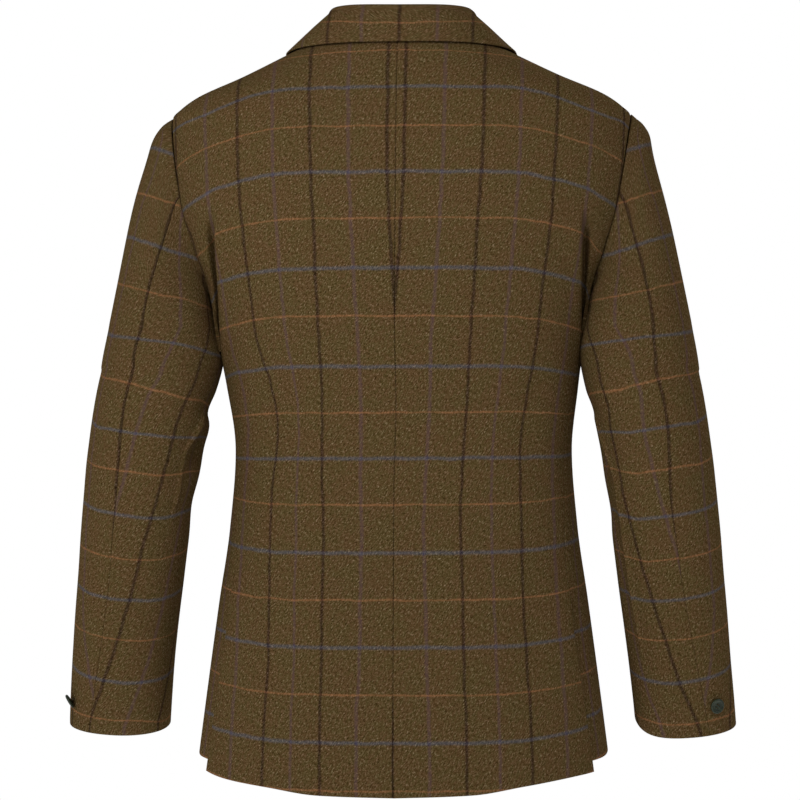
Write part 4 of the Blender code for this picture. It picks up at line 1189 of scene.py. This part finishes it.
def sleeve_frame(z):
    """Centre, sideways and backward directions and half sizes of sleeve sections."""
    x, y, half_width, half_depth = (SLEEVE.curve(name, z) for name in SLEEVE.names[1:])
    higher = np.minimum(z + SECTION_REACH, SLEEVE_TOP_Z)
    lower = np.maximum(z - SECTION_REACH, SLEEVE_CUFF_Z)
    level_out = ease((SLEEVE_TOP_Z - z) / SLEEVE_SLANT_REACH)
    slide = [(SLEEVE.curve(name, lower) - SLEEVE.curve(name, higher)) * level_out for name in ("x", "y")]
    down = unit(np.stack([*slide, lower - higher], axis=-1))
    behind = unit(np.array([0.0, 1.0, 0.0]) - down * down[..., 1:2])
    return np.stack([x, y, z], axis=-1), np.cross(down, behind), behind, half_width, half_depth


def swell(rows, columns, angle, z=0.0):
    """Sum of soft bulges round a sleeve; one that has no height reaches all the way up and down."""
    total = np.zeros(np.broadcast(angle, z).shape)
    for bulge in named_rows(rows, columns):
        turn = (angle - bulge["angle"] + 180.0) % 360.0 - 180.0
        up = (z - bulge.get("z", z)) / bulge.get("half_height", 1.0)
        total += bulge["size"] * np.exp(-up ** 2 - (turn / bulge["half_angle"]) ** 2)
    return total


def tube_points(z, angle):
    """Points of the sleeve below the underarm, at angles in degrees round it."""
    z, angle = np.broadcast_arrays(np.asarray(z, float), np.asarray(angle, float))
    centre, sideways, behind, half_width, half_depth = sleeve_frame(z)
    shrink = 1.0 - swell(SLEEVE_FOLDS, BULGE_COLUMNS, angle, z) / half_width
    out = half_width * rounded(np.cos(np.radians(angle)), SLEEVE_POWER) * shrink
    back = half_depth * rounded(np.sin(np.radians(angle)), SLEEVE_POWER) * shrink
    return centre + sideways * out[..., None] + behind * back[..., None]


def arm_edge(step):
    """Points on the armhole, the body's outward directions and the way on into the hole."""
    points = []
    for place in (step - ARM_EDGE_TURN, step + ARM_EDGE_TURN, step):
        level = arm_level(place)
        walk = FORM.walk_to_y(level, arm_y(place))
        points.append(FORM.point(level, walk))
    normal = FORM.normal(level, walk)
    return points[2], normal, np.cross(unit(points[1] - points[0]), normal)


def cap_points(step, t, side):
    """Points of the sleeve head between the armhole and the underarm section."""
    angle = 360.0 * step / ARM_STEPS
    edge, normal, onward = arm_edge(step)
    near_top = (0.5 + 0.5 * np.cos(np.radians(angle)))[:, None] ** HEAD_TOP_POWER
    tilt = CAP_LEAVE + (HEAD_LEAVE[side] - CAP_LEAVE) * near_top
    out = normal * np.cos(tilt) + onward * np.sin(tilt)
    sweep = np.cross(normal, onward) * np.sin(np.radians(angle))[:, None]
    sweep = sweep * np.where(np.sum(sweep[..., 2]) > 0.0, -1.0, 1.0)
    leave = unit(out + sweep * CAP_SWEEP)
    start = edge + (normal + onward) * SEAM_GAP
    end = tube_points(SLEEVE_TOP_Z, angle)
    down = unit(tube_points(SLEEVE_TOP_Z - 2 * SECTION_REACH, angle) - end)
    length = np.linalg.norm(end - start, axis=-1, keepdims=True)
    pull = leave * length * CAP_START_PULL
    push = down * length * CAP_END_PULL
    t = t[:, None, None]
    curve = (start * (2 * t ** 3 - 3 * t ** 2 + 1) + pull * (t ** 3 - 2 * t ** 2 + t)
             + end * (3 * t ** 2 - 2 * t ** 3) + push * (t ** 3 - t ** 2))
    roll = bell(t - HEAD_PLACE, HEAD_SPREAD) * ease(t / HEAD_RISE_SHARE)
    bump = HEAD_BUMP[side] * near_top * ease(t / HEAD_BUMP_RISE) * bell(t, HEAD_BUMP_SPREAD)
    return curve + out * HEAD_ROLL * near_top * roll + np.array([0.0, 0.0, 1.0]) * bump


def add_sleeve(piece, side):
    """Top or under sleeve from the armhole to the cuff."""
    top = piece == "sleeve_top"
    count, spread = (TOP_SLEEVE_COLUMNS, EVEN_SPREAD) if top else (UNDER_SLEEVE_COLUMNS, UNDER_SPREAD)
    across = stations(0.0, SLEEVE_PANEL_WIDTH, count, spread)
    share = across / SLEEVE_PANEL_WIDTH
    first, last = (FORE_STEP - ARM_STEPS, HIND_STEP) if top else (HIND_STEP, FORE_STEP)
    step = first + (last - first) * share
    cap_t = np.concatenate((CAP_EDGE_SHARES, np.linspace(CAP_EDGE_SHARES[-1], 1.0, CAP_ROWS + 1)[1:-1]))
    cap_rows = len(cap_t)
    tube_z = np.concatenate((np.linspace(SLEEVE_TOP_Z, SLEEVE_CUFF_Z + EDGE_STEPS[-1], TUBE_ROWS),
                             SLEEVE_CUFF_Z + EDGE_STEPS[-2::-1]))[:, None]
    hind = HIND_SEAM.curve(side, tube_z)
    ends = (FORE_ANGLE - 360.0, hind) if top else (hind, FORE_ANGLE)
    tube_angle = ends[0] + (ends[1] - ends[0]) * share
    rise = swell(CUFF_RISE[side], CUFF_RISE_COLUMNS, tube_angle)
    tube_z = tube_z + rise * fade(tube_z, CUFF_RISE_FROM, SLEEVE_CUFF_Z)
    grid = np.concatenate((cap_points(step, cap_t, side), tube_points(tube_z, tube_angle)))
    angle = np.concatenate((np.tile(360.0 * step / ARM_STEPS, (cap_rows, 1)), tube_angle))
    z_rest = np.concatenate((grid[:cap_rows, :, 2], tube_z))
    u, v = sleeve_cloth(grid, cap_rows, z_rest, angle, top, side)
    fit = swell(SLEEVE_FIT[side], BULGE_COLUMNS, angle, z_rest)
    fit = fit - crease_depth(z_rest, angle * GIRTH_PER_DEGREE, SLEEVE_CREASES[side])
    away = np.minimum(length_along(grid, 0), EDGE_FREE) / EDGE_FREE
    grid = grid + outward(grid, SLEEVE_MIDDLE) * (fit * away)[..., None]
    normals = outward(grid, SLEEVE_MIDDLE)
    down = length_along(grid, 0)
    edges = ((across, "seam"), (SLEEVE_PANEL_WIDTH - across, "seam"), (down, "armhole"),
             (down[-1:] - down, "turned"))
    grid[:, 0] += unit(grid[:, 1] - grid[:, 0]) * SEAM_GAP / 2
    grid[:, -1] += unit(grid[:, -2] - grid[:, -1]) * SEAM_GAP / 2
    uv = cloth(u, v, -WAY[side] if top else WAY[side])
    return finish_panel(f"{piece}_{side}", mirrored(grid, side), mirrored(normals, side), uv, edges,
                        hangs=True)


def cap_turn(points):
    """Angle of sleeve head points round the sleeve's middle, in degrees."""
    middle = sleeve_frame(np.array(SLEEVE_TOP_Z))[0]
    return np.degrees(np.arctan2(points[..., 1] - middle[1], points[..., 0] - middle[0]))


def head_girth(turn):
    """Length round the underarm section from its outer side to an angle."""
    angles = np.arange(HEAD_GIRTH_FROM, HEAD_GIRTH_TO + 1.0, 1.0)
    ring = tube_points(SLEEVE_TOP_Z, angles)
    seen = np.degrees(np.unwrap(np.radians(cap_turn(ring))))
    seen = seen - 360.0 * np.round(seen[np.argmin(np.abs(angles))] / 360.0)
    return np.interp(turn, seen, length_along(ring, 0))


def sleeve_cloth(grid, cap_rows, z, angle, top, side):
    """Places along and across the cloth of a sleeve."""
    level = z - CAP_SLOPE.curve("slope", z) * (grid[..., 0] - CAP_SLOPE_MIDDLE_X)
    level = level - SLEEVE_RISE.curve(side, z) * ease((angle - INNER_FROM) / INNER_REACH)
    level = level - SLEEVE_RISE.curve("outer", z) * ease((OUTER_FROM - angle) / OUTER_REACH)
    low = fade(z, SLEEVE_SAG_FROM, SLEEVE_SAG_FULL)
    level = level + SLEEVE_SAG * low * (np.sin(np.radians(angle)) - SLEEVE_SAG_ZERO)
    if side == "right":
        level = level - SLEEVE_RISE.curve("all_right", z)
    v = SLEEVE_WEFT.curve("line", level) * -WEFT_PERIOD / 2
    girth = length_along(grid, 1)
    head = grid[:cap_rows]
    over = head[..., 2] - SLEEVE_TOP_Z
    turn = cap_turn(head)
    if top:
        u = girth[:, -1:] - girth + SLEEVE_WARP.curve("top", z)
        seam_line = head[::-1, -1]
        seam_turn = np.interp(head[..., 2], seam_line[:, 2], cap_turn(seam_line))
        behind = ease((turn - HEAD_BEHIND_FROM) / HEAD_BEHIND_REACH)
        past_seam = np.clip(head[..., 2] - seam_line[-1, 2], 0.0, None)
        seam_turn = seam_turn + HEAD_LINE_TURN * behind * past_seam
        spread = 1.0 - HEAD_NARROW * behind * ease(over / HEAD_NARROW_REACH)
        u[:cap_rows] = (head_girth(seam_turn) - head_girth(turn)) * spread - HEAD_LINE_IN
    else:
        line = SLEEVE_WARP.curve(f"{side}_angle", z)
        u = girth - np.array([[np.interp(l[0], a, g)] for l, a, g in zip(line, angle, girth)])
        dark = cap_turn(tube_points(SLEEVE_TOP_Z, line[:cap_rows])) % 360.0 + UNDER_HEAD_TURN * over
        beside = head_girth(turn % 360.0) - head_girth(dark)
        u[:cap_rows] = np.where(beside < -UNDER_NEAR, (beside - UNDER_NEAR) / 2, beside)
    return u, v


def neck_path():
    """Foot of the collar from centre back to the gorge: places along and points."""
    end = float(FORM.walk_to_front_x(NECK_Z, ROLL_NECK_X))
    slope = np.linspace(NECK_Z, ROLL_GORGE[1], SLOPE_PATH_STEPS)[1:]
    z = np.concatenate((np.full(NECK_PATH_STEPS, NECK_Z), slope))
    around = np.linspace(0.0, end, NECK_PATH_STEPS)
    walk = np.concatenate((around, FORM.walk_to_front_x(slope, roll_x(slope))))
    edge = FORM.point(z, walk)
    normal = FORM.normal(z, walk)
    onward = np.cross(unit(np.gradient(edge, axis=0)), normal)
    foot = edge - normal * CLOTH / 2 + onward * (CLOTH / 2 + SEAM_GAP)
    length = length_along(edge, 0)
    return length / length[-1], foot


def collar_line(name, share):
    """Smooth points along one of the collar's lines."""
    points = COLLAR.column(name)
    return np.stack([smooth(share, COLLAR.column("along"), points[:, k]) for k in range(3)], axis=-1)


def collar_half():
    """Grid of the left half of the collar, from centre back and from neck seam over to the fall."""
    share = np.concatenate((np.linspace(0.0, 1.0 - COLLAR_END_SHARE, COLLAR_STATIONS),
                            1.0 - EDGE_STEPS[::-1] / COLLAR_LENGTH))
    along, foot = neck_path()
    seam = np.stack([np.interp(share, along, foot[:, k]) for k in range(3)], axis=-1)
    fold, mid, edge = (collar_line(name, share) for name in COLLAR.names[1:])
    out = unit((mid - fold) * np.array([1.0, 1.0, 0.0]))
    stand = np.linalg.norm(fold - seam, axis=-1, keepdims=True)
    radius = np.minimum(COLLAR_FOLD_RADIUS, COLLAR_FOLD_SHARE * stand)
    middle = fold - radius * np.array([0.0, 0.0, 1.0])
    rows = [seam + (middle - out * radius - seam) * k / COLLAR_STAND_STEPS
            for k in range(COLLAR_STAND_STEPS)]
    for turn in np.linspace(math.pi, 0.0, COLLAR_FOLD_STEPS, endpoint=False):
        rows.append(middle + radius * (out * math.cos(turn) + np.array([0.0, 0.0, math.sin(turn)])))
    places = stations(0.0, COLLAR_FALL, COLLAR_FALL_COUNT) / COLLAR_FALL
    rows += [fall_point(middle + out * radius, mid, edge, t) for t in places[1:]]
    return np.stack(rows, axis=1)


def fall_point(start, mid, edge, t):
    """Point down the fall, bent softly at its middle."""
    straight = np.where(t < 0.5, start + (mid - start) * 2 * t, mid + (edge - mid) * (2 * t - 1))
    curve = start * (1 - t) * (1 - 2 * t) + mid * 4 * t * (1 - t) + edge * t * (2 * t - 1)
    return 0.5 * straight + 0.5 * curve


def add_collar():
    """Collar in one piece, stand and fall, from its right end to its left end."""
    half = collar_half()
    grid = np.concatenate((mirrored(half[:0:-1], "right"), half))
    high = ease(grid[..., 2] / COLLAR_HIGH_Z)
    grid[..., 2] += COLLAR_TILT * grid[..., 0] * high
    grid[..., 0] += COLLAR_SHIFT * high
    normals = grid_normals(grid)
    centre = len(half) - 1
    normals = normals * np.sign(normals[centre, -2, 1])
    grid = grid + normals * CLOTH / 2
    down = length_along(grid, 1)
    along = length_along(grid, 0)
    fold = COLLAR_STAND_STEPS + COLLAR_FOLD_STEPS // 2
    behind = slice(centre - COLLAR_UPRIGHT, centre + COLLAR_UPRIGHT + 1)
    low = along[:, COLLAR_LOW_LINE] - along[centre, COLLAR_LOW_LINE]
    upright = np.interp(grid[..., 0], grid[behind, COLLAR_LOW_LINE, 0], low[behind])
    held = np.clip(np.arange(len(grid)), centre - COLLAR_UPRIGHT, centre + COLLAR_UPRIGHT)
    u = upright[held] + along - along[held] + COLLAR_WARP_AT
    v = down[:, fold:fold + 1] + COLLAR_RUST_BELOW_FOLD - down
    edges = ((down, "seam"), (down[:, -1:] - down, "turned"),
             (along, "turned"), (along[-1:] - along, "turned"))
    return finish_panel("collar", grid, normals, cloth(u, v, -1.0), edges)


def add_lapel(piece, side):
    """Lapel turned back along the roll line; the right one starts beside the left front."""
    under = side == "right"
    bottom = LAPEL_START_UNDER if under else LAPEL_START
    along = (stations(0.0, LAPEL_LENGTH, LAPEL_ROWS) / LAPEL_LENGTH)[:, None]
    across = stations(0.0, LAPEL_WIDTH, LAPEL_ACROSS)[len(EDGE_STEPS) - 1:] / LAPEL_WIDTH
    across[0] = 0.0
    turns = np.linspace(-90.0, 90.0, LAPEL_ROLL_STEPS, endpoint=False)
    share = np.concatenate((np.zeros(LAPEL_ROLL_STEPS), across))[None]
    turn = np.radians(np.concatenate((turns, np.full(len(across), 90.0))))[None]
    gorge_z = ROLL_GORGE[1]
    top = gorge_z - LAPEL_GORGE_GAP + (LAPEL_POINT_Z - gorge_z) * share
    z = bottom + (top - bottom) * along
    roll = roll_x(z)
    inside = np.maximum(roll, LAPEL_TUCK_CLEAR - roll) if under else roll
    x = inside + (roll + LAPEL.curve("width", z) - inside) * share
    walk = FORM.walk_to_front_x(z, x)
    lift = 0.0 if under else front_lift(x)
    soft = LAPEL_ROLL_LEAST + (1.0 - LAPEL_ROLL_LEAST) * ease(along / LAPEL_ROLL_SHARE)
    rise = LAPEL_CLEAR + LAPEL_ROLL_RISE * soft * np.exp(-(x - roll) / LAPEL_ROLL_REACH) + lift
    low = lift - 2 * CLOTH - LAPEL_UNDER_GAP
    radius = (rise + CLOTH - low) / 2
    onward = unit(FORM.point(z, walk + NORMAL_REACH) - FORM.point(z, walk - NORMAL_REACH))
    grid = FORM.raised(z, walk, low + radius + radius * np.sin(turn))
    grid = lean(mirrored(grid + onward * (radius * np.cos(turn))[..., None], side))
    normals = grid_normals(grid)
    normals = normals * -np.sign(np.sum(normals[:, -LAPEL_ACROSS:, 1]))
    out = length_along(grid, 1)
    up = length_along(grid, 0)
    edges = [(distance, "turned") for distance in (out, out[:, -1:] - out, up, up[-1:] - up)]
    v = np.interp(z, *FRONT_PROFILE) - WEFT_RUST_AT
    uv = cloth(out[:, -1:] - out + LAPEL_WARP_AT, v, -WAY[side])
    return finish_panel(f"{piece}_{side}", grid, normals, uv, edges)


def colour(*shade):
    """Linear colour from the usual eight-bit values."""
    shares = [value / 255.0 for value in shade]
    values = [s / 12.92 if s <= 0.04045 else ((s + 0.055) / 1.055) ** 2.4 for s in shares]
    return (*values, 1.0)


def linear(*shade):
    """Colour from linear values."""
    return (*shade, 1.0)


class Graph:
    """Short calls that add linked shader nodes to one material."""

    def __init__(self, name, **values):
        self.material = bpy.data.materials.new(name)
        self.material.use_nodes = True
        self.tree = self.material.node_tree
        self.shader = self.tree.nodes["Principled BSDF"]
        for socket, value in values.items():
            self.shader.inputs[socket.replace("_", " ")].default_value = value

    def plug(self, socket, value):
        """Link a socket, or give it a plain value."""
        if hasattr(value, "is_output"):
            self.tree.links.new(value, socket)
        else:
            socket.default_value = value

    def node(self, kind, inputs, **settings):
        """New node with its settings and inputs, given by name or in their order."""
        node = self.tree.nodes.new(f"ShaderNode{kind}")
        for name, value in settings.items():
            setattr(node, name, value)
        if not isinstance(inputs, dict):
            inputs = dict(enumerate(inputs))
        for key, value in inputs.items():
            self.plug(node.inputs[key], value)
        return node

    def where(self):
        """Places in the object's own frame."""
        return self.node("TexCoord", ()).outputs["Object"]

    def math(self, operation, *values):
        """Arithmetic on one to three values."""
        return self.node("Math", values, operation=operation).outputs[0]

    def blend(self, first, share, second):
        """First value times its share, plus a second value."""
        return self.math("MULTIPLY_ADD", first, share, second)

    def between(self, value, low, high, to_low=0.0, to_high=1.0):
        """Soft step of a value between two limits."""
        inputs = (value, low, high, to_low, to_high)
        return self.node("MapRange", inputs, interpolation_type="SMOOTHSTEP").outputs["Result"]

    def mix(self, share, first, second, blend="MIX"):
        """Mix of two colours."""
        node = self.node("Mix", (), data_type="RGBA", blend_type=blend)
        for socket, value in zip([s for s in node.inputs if s.enabled], (share, first, second)):
            self.plug(socket, value)
        return [s for s in node.outputs if s.enabled][0]

    def ramp(self, share, *stops, scale=colour):
        """Colour ramp with stops as a place and a colour."""
        node = self.node("ValToRGB", (share,))
        bar = node.color_ramp
        while len(bar.elements) < len(stops):
            bar.elements.new(1.0)
        for element, (place, *shade) in zip(bar.elements, stops):
            element.position = place
            element.color = scale(*shade)
        return node.outputs["Color"]

    def noise(self, vector, scale, detail=2.0, roughness=0.5):
        """Smooth noise between 0 and 1."""
        inputs = {"Vector": vector, "Scale": scale, "Detail": detail, "Roughness": roughness}
        return self.node("TexNoise", inputs).outputs["Fac"]

    def grain(self, vector, turn, length, width, depth, detail, roughness=0.5):
        """Noise in grains of a length, width and depth, turned in the plane."""
        slant = (0.0, 0.0, math.radians(turn))
        inputs = {"Vector": vector, "Rotation": slant, "Scale": (length, width, depth)}
        places = self.node("Mapping", inputs, vector_type="TEXTURE").outputs["Vector"]
        return self.noise(places, 1.0, detail, roughness)

    def finish(self, look, height=None, strength=0.0, distance=0.0):
        """Colour and bump of the shader, and the material."""
        self.plug(self.shader.inputs["Base Color"], look)
        if height is not None:
            inputs = {"Strength": strength, "Distance": distance, "Height": height}
            self.plug(self.shader.inputs["Normal"], self.node("Bump", inputs).outputs["Normal"])
        return self.material


def check_line(graph, tone, off, half, soft, weak, strong):
    """Strength of one line of the check, by the distance off its middle and the weave's tone."""
    edge = graph.between(off, half + soft, half - soft)
    return graph.math("MULTIPLY", edge, graph.between(tone, *LINE_TONES, weak, strong))


def tweed_material():
    """Woollen tweed: mottled olive brown ground with a fine windowpane check."""
    graph = Graph("tweed", Roughness=1.0, Sheen_Weight=0.02, Sheen_Roughness=0.5,
                  Sheen_Tint=colour(*SHEEN_TINT), Specular_IOR_Level=0.0)
    check, place = (graph.node("UVMap", (), uv_map=name).outputs["UV"] for name in UV_NAMES)
    u, v, _ = graph.node("SeparateXYZ", (check,)).outputs

    flecks, cross_flecks, fine, tint = (graph.grain(place, *grain) for grain in TWEED_GRAINS)
    patches = graph.noise(place, PATCH_SCALE, detail=3.0, roughness=0.6)
    tone = graph.blend(flecks, FLECK_SHARE, graph.blend(cross_flecks, CROSS_SHARE,
                                                        graph.math("MULTIPLY", fine, FINE_SHARE)))
    olive, brown, slate = (graph.ramp(tone, *stops) for stops in (OLIVE, BROWN, SLATE))
    mottle = graph.blend(patches, 0.5, graph.math("MULTIPLY", tint, 0.5))
    ground = graph.mix(graph.between(mottle, *MOTTLE_STEP), olive, brown)

    sway, wander = (graph.blend(graph.noise(place, scale, detail=1.0), 2 * reach, -reach)
                    for scale, reach in LINE_SWAY)
    shift = graph.math("ADD", sway, wander)
    offs = []
    for along, period in ((u, WARP_PERIOD), (v, WEFT_PERIOD)):
        off = graph.math("PINGPONG", graph.math("ADD", along, shift), period / 2)
        offs += [off, graph.math("SUBTRACT", period / 2, off)]
    dark, lilac, rust, blue = (check_line(graph, tone, off, *line) for off, line in zip(offs, CHECK_LINES))
    rust = graph.math("MULTIPLY", rust, graph.between(patches, *RUST_PATCHES))
    look = graph.mix(lilac, ground, colour(*LILAC_LINE))
    look = graph.mix(blue, look, slate)
    look = graph.mix(graph.math("MULTIPLY", lilac, blue), look, colour(*CROSSING))
    look = graph.mix(rust, look, colour(*RUST_LINE))
    look = graph.mix(dark, look, DARK_LINE, "MULTIPLY")
    return graph.finish(look, tone, strength=0.6, distance=0.0010)


def button_material():
    """Dark green horn-like button, satin, with soft streaks."""
    graph = Graph("button", Roughness=0.42, Specular_IOR_Level=0.35)
    where = graph.where()
    look = graph.ramp(graph.grain(where, *BUTTON_GRAIN), *BUTTON_SHADES)
    return graph.finish(look, graph.noise(where, BUTTON_PITS), strength=0.12, distance=0.0003)


def thread_material():
    """Dark sewing thread with a fine twist."""
    graph = Graph("thread", Roughness=0.85, Specular_IOR_Level=0.15)
    twist = graph.grain(graph.where(), *THREAD_GRAIN)
    return graph.finish(graph.ramp(twist, *THREAD_SHADES), twist, strength=0.3, distance=0.0002)


def stage_material():
    """Plain pale stage, which glows a little as a floor lit from all round does."""
    graph = Graph("stage", Roughness=0.9, Specular_IOR_Level=0.1, Emission_Color=(1.0, 1.0, 1.0, 1.0),
                  Emission_Strength=0.28)
    mottle = graph.noise(graph.where(), STAGE_MOTTLE)
    return graph.finish(graph.ramp(mottle, *STAGE_SHADES, scale=linear))


def strand(path, radius):
    """Points and faces of a round strand along a path."""
    path = np.asarray(path, float)
    along = unit(np.gradient(path, axis=0))
    aside = unit(np.cross(along, np.array(STRAND_ASIDE)))
    over = np.cross(along, aside)
    turn = np.linspace(0.0, 2 * math.pi, STRAND_SIDES, endpoint=False)[:, None]
    ring = aside[:, None] * np.cos(turn) + over[:, None] * np.sin(turn)
    points = (path[:, None] + radius * ring).reshape(-1, 3)
    index = np.arange(len(points)).reshape(len(path), STRAND_SIDES)
    return points, ring_faces(index) + [index[0, ::-1].tolist(), index[-1].tolist()]


def ring_faces(index):
    """Faces between rows of points that run round a form."""
    beside = np.roll(index, -1, axis=1)
    return np.stack([index[:-1], beside[:-1], beside[1:], index[1:]], axis=-1).reshape(-1, 4).tolist()


def add_solid(name, parts, materials):
    """One object from parts given as points, faces and the number of a material."""
    points, faces, numbers = [], [], []
    for part_points, part_faces, number in parts:
        faces += [[k + len(points) for k in face] for face in part_faces]
        numbers += [number] * len(part_faces)
        points += part_points.tolist()
    mesh = bpy.data.meshes.new(name)
    mesh.from_pydata(points, [], faces)
    mesh.polygons.foreach_set("material_index", numbers)
    mesh_data = bmesh.new()
    mesh_data.from_mesh(mesh)
    bmesh.ops.remove_doubles(mesh_data, verts=mesh_data.verts[:], dist=MERGE_DISTANCE)
    bmesh.ops.recalc_face_normals(mesh_data, faces=mesh_data.faces[:])
    mesh_data.to_mesh(mesh)
    mesh_data.free()
    mesh.shade_smooth()
    for material in materials:
        mesh.materials.append(material)
    return add_object(name, mesh)


def add_button(node, radius, place, facing, shank, materials):
    """Turned button with a raised rim and four holes, sewn on with thread."""
    outline = np.array(BUTTON_OUTLINE)
    run = length_along(outline, 0)
    places = np.linspace(0.0, run[-1], BUTTON_RINGS)
    r, h = (np.interp(places, run, outline[:, k])[:, None] for k in (0, 1))
    turn = np.linspace(0.0, 2 * math.pi, BUTTON_SIDES, endpoint=False)
    x = r * np.cos(turn)
    y = r * np.sin(turn)
    depth = np.zeros(x.shape)
    for hole_x, hole_y in HOLE_PLACES:
        inside = (HOLE_RADIUS - np.hypot(x - hole_x, y - hole_y)) / HOLE_WALL
        depth = np.maximum(depth, HOLE_DEPTH * ease(inside))
    z = h - depth * (places > run[-1] - BUTTON_FACE_RADIUS)[:, None]
    disc = np.stack([x, y, z], axis=-1).reshape(-1, 3)
    parts = [(disc, ring_faces(np.arange(x.size).reshape(x.shape)), 0)]
    t = np.linspace(0.0, STRAND_END, STRAND_STEPS)
    arch = STRAND_LOW + STRAND_ARCH * np.sin(math.pi * t) ** STRAND_ARCH_POWER
    for a, b in (HOLE_PLACES[:2], HOLE_PLACES[2:]):
        bar = np.stack([a[0] + (b[0] - a[0]) * t, a[1] + (b[1] - a[1]) * t, arch], axis=-1)
        parts.append((*strand(bar, STRAND_RADIUS), 1))
    parts.append((*strand(((0.0, 0.0, -shank / radius), (0.0, 0.0, SHANK_TOP)), SHANK_RADIUS), 1))
    parts = [(points * radius, faces, number) for points, faces, number in parts]
    item = add_solid(f"{node}_turned", parts, materials)
    item.rotation_mode = "QUATERNION"
    item.rotation_quaternion = Vector((0.0, 0.0, 1.0)).rotation_difference(Vector(facing).normalized())
    item.location = place
    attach(item, BODY_NAME)
    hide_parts(node)


def add_buttons(materials):
    """Front buttons down the centre front and one button on each cuff."""
    for number, z in enumerate(FRONT_BUTTON_Z, start=1):
        walk = FORM.walk_to_front_x(z, 0.0)
        place = lean(FORM.raised(np.array(z), walk, FRONT_LIFT + BUTTON_CLEAR))
        add_button(f"front_button_{number}", FRONT_BUTTON_RADIUS, place, FORM.normal(np.array(z), walk),
                   FRONT_BUTTON_SHANK, materials)
    add_button("cuff_button_left", CUFF_BUTTON_RADIUS, LEFT_BUTTON_PLACE, LEFT_BUTTON_FACING,
               LEFT_BUTTON_SHANK, materials)
    z, angle = CUFF_BUTTON_Z, CUFF_BUTTON_ANGLE
    along = tube_points(z, angle + 1.0) - tube_points(z, angle - 1.0)
    up = tube_points(z + SECTION_REACH, angle) - tube_points(z - SECTION_REACH, angle)
    normal = unit(np.cross(along, up))
    place = mirrored(tube_points(z, angle) + normal * BUTTON_CLEAR, "right")
    add_button("cuff_button_right", CUFF_BUTTON_RADIUS, place, mirrored(normal, "right"),
               RIGHT_BUTTON_SHANK, materials)


def add_buttonholes(thread):
    """Worked buttonholes of the left front, which run on from under each button."""
    turn = np.linspace(0.0, 2 * math.pi, BUTTONHOLE_STEPS)
    half_length, half_height = BUTTONHOLE_HALF
    x = BUTTONHOLE_X + half_length * np.tanh(BUTTONHOLE_ENDS * np.cos(turn)) / math.tanh(BUTTONHOLE_ENDS)
    parts = []
    for middle in FRONT_BUTTON_Z:
        z = middle + half_height * np.sin(turn)
        loop = lean(FORM.raised(z, FORM.walk_to_front_x(z, x), front_lift(x) + BUTTONHOLE_LIFT))
        parts.append((*strand(loop, BUTTONHOLE_STRAND), 0))
    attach(add_solid("front_left_buttonholes", parts, (thread,)), BODY_NAME)


def dress(item, node, material):
    """Make a cloth shell stand for its solid: give it the material, fix it to the body and hide the solid.
    """
    item.data.materials.append(material)
    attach(item, BODY_NAME)
    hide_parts(node)


def add_jacket():
    """All the cloth and the buttons."""
    tweed = tweed_material()
    builders = {"back": add_back, "side": add_side, "front": add_front, "sleeve_top": add_sleeve,
                "sleeve_under": add_sleeve, "lapel": add_lapel}
    for side in WAY:
        for piece, build in builders.items():
            dress(build(piece, side), f"{piece}_{side}", tweed)
    dress(add_collar(), "collar", tweed)
    thread = thread_material()
    add_buttonholes(thread)
    add_buttons((button_material(), thread))


def add_stage():
    """Pale round floor below the jacket."""
    turns = np.linspace(0.0, 2 * math.pi, STAGE_SIDES, endpoint=False)
    points = [(STAGE_RADIUS * math.cos(t), STAGE_RADIUS * math.sin(t), STAGE_FLOOR_Z) for t in turns]
    mesh = bpy.data.meshes.new("stage")
    mesh.from_pydata(points, [], [tuple(range(STAGE_SIDES))])
    mesh.materials.append(stage_material())
    add_object("stage", mesh)


def look_along(item, place, way):
    """Put a lamp or the camera at a place, facing a way."""
    item.location = place
    item.rotation_mode = "QUATERNION"
    item.rotation_quaternion = way.to_track_quat("-Z", "Y")


def add_lights():
    """Even soft studio light: large lamps around and a white surround."""
    for lamp in named_rows(LIGHTS, LIGHT_COLUMNS):
        data = bpy.data.lights.new(lamp["name"], "AREA")
        data.size = lamp["size"]
        data.energy = lamp["power"]
        item = add_object(lamp["name"], data)
        look_along(item, lamp["place"], Vector(VIEW_MIDDLE) - Vector(lamp["place"]))
        item.visible_camera = False
    world = bpy.data.worlds.new("surround")
    world.use_nodes = True
    tree = world.node_tree
    choice = tree.nodes.new("ShaderNodeMixShader")
    tree.links.new(tree.nodes.new("ShaderNodeLightPath").outputs["Is Camera Ray"], choice.inputs[0])
    lit = tree.nodes["Background"]
    seen = tree.nodes.new("ShaderNodeBackground")
    backings = ((lit, WORLD_STRENGTH), (seen, BACKDROP_STRENGTH))
    for number, (backing, strength) in enumerate(backings, start=1):
        backing.inputs["Color"].default_value = (1.0, 1.0, 1.0, 1.0)
        backing.inputs["Strength"].default_value = strength
        tree.links.new(backing.outputs[0], choice.inputs[number])
    tree.links.new(choice.outputs[0], tree.nodes["World Output"].inputs["Surface"])
    bpy.context.scene.world = world
    bpy.context.scene.view_settings.view_transform = "Standard"


def add_camera():
    """Camera level with the middle of the jacket, behind it."""
    data = bpy.data.cameras.new("camera")
    data.lens = VIEW_LENS
    data.sensor_width = VIEW_SENSOR
    towards = np.array([math.sin(VIEW_AZIMUTH), -math.cos(VIEW_AZIMUTH), 0.0])
    item = add_object("camera", data)
    look_along(item, VIEW_MIDDLE + towards * VIEW_DISTANCE, Vector(-towards))
    bpy.context.scene.camera = item


add_jacket()
add_stage()
add_lights()
add_camera()
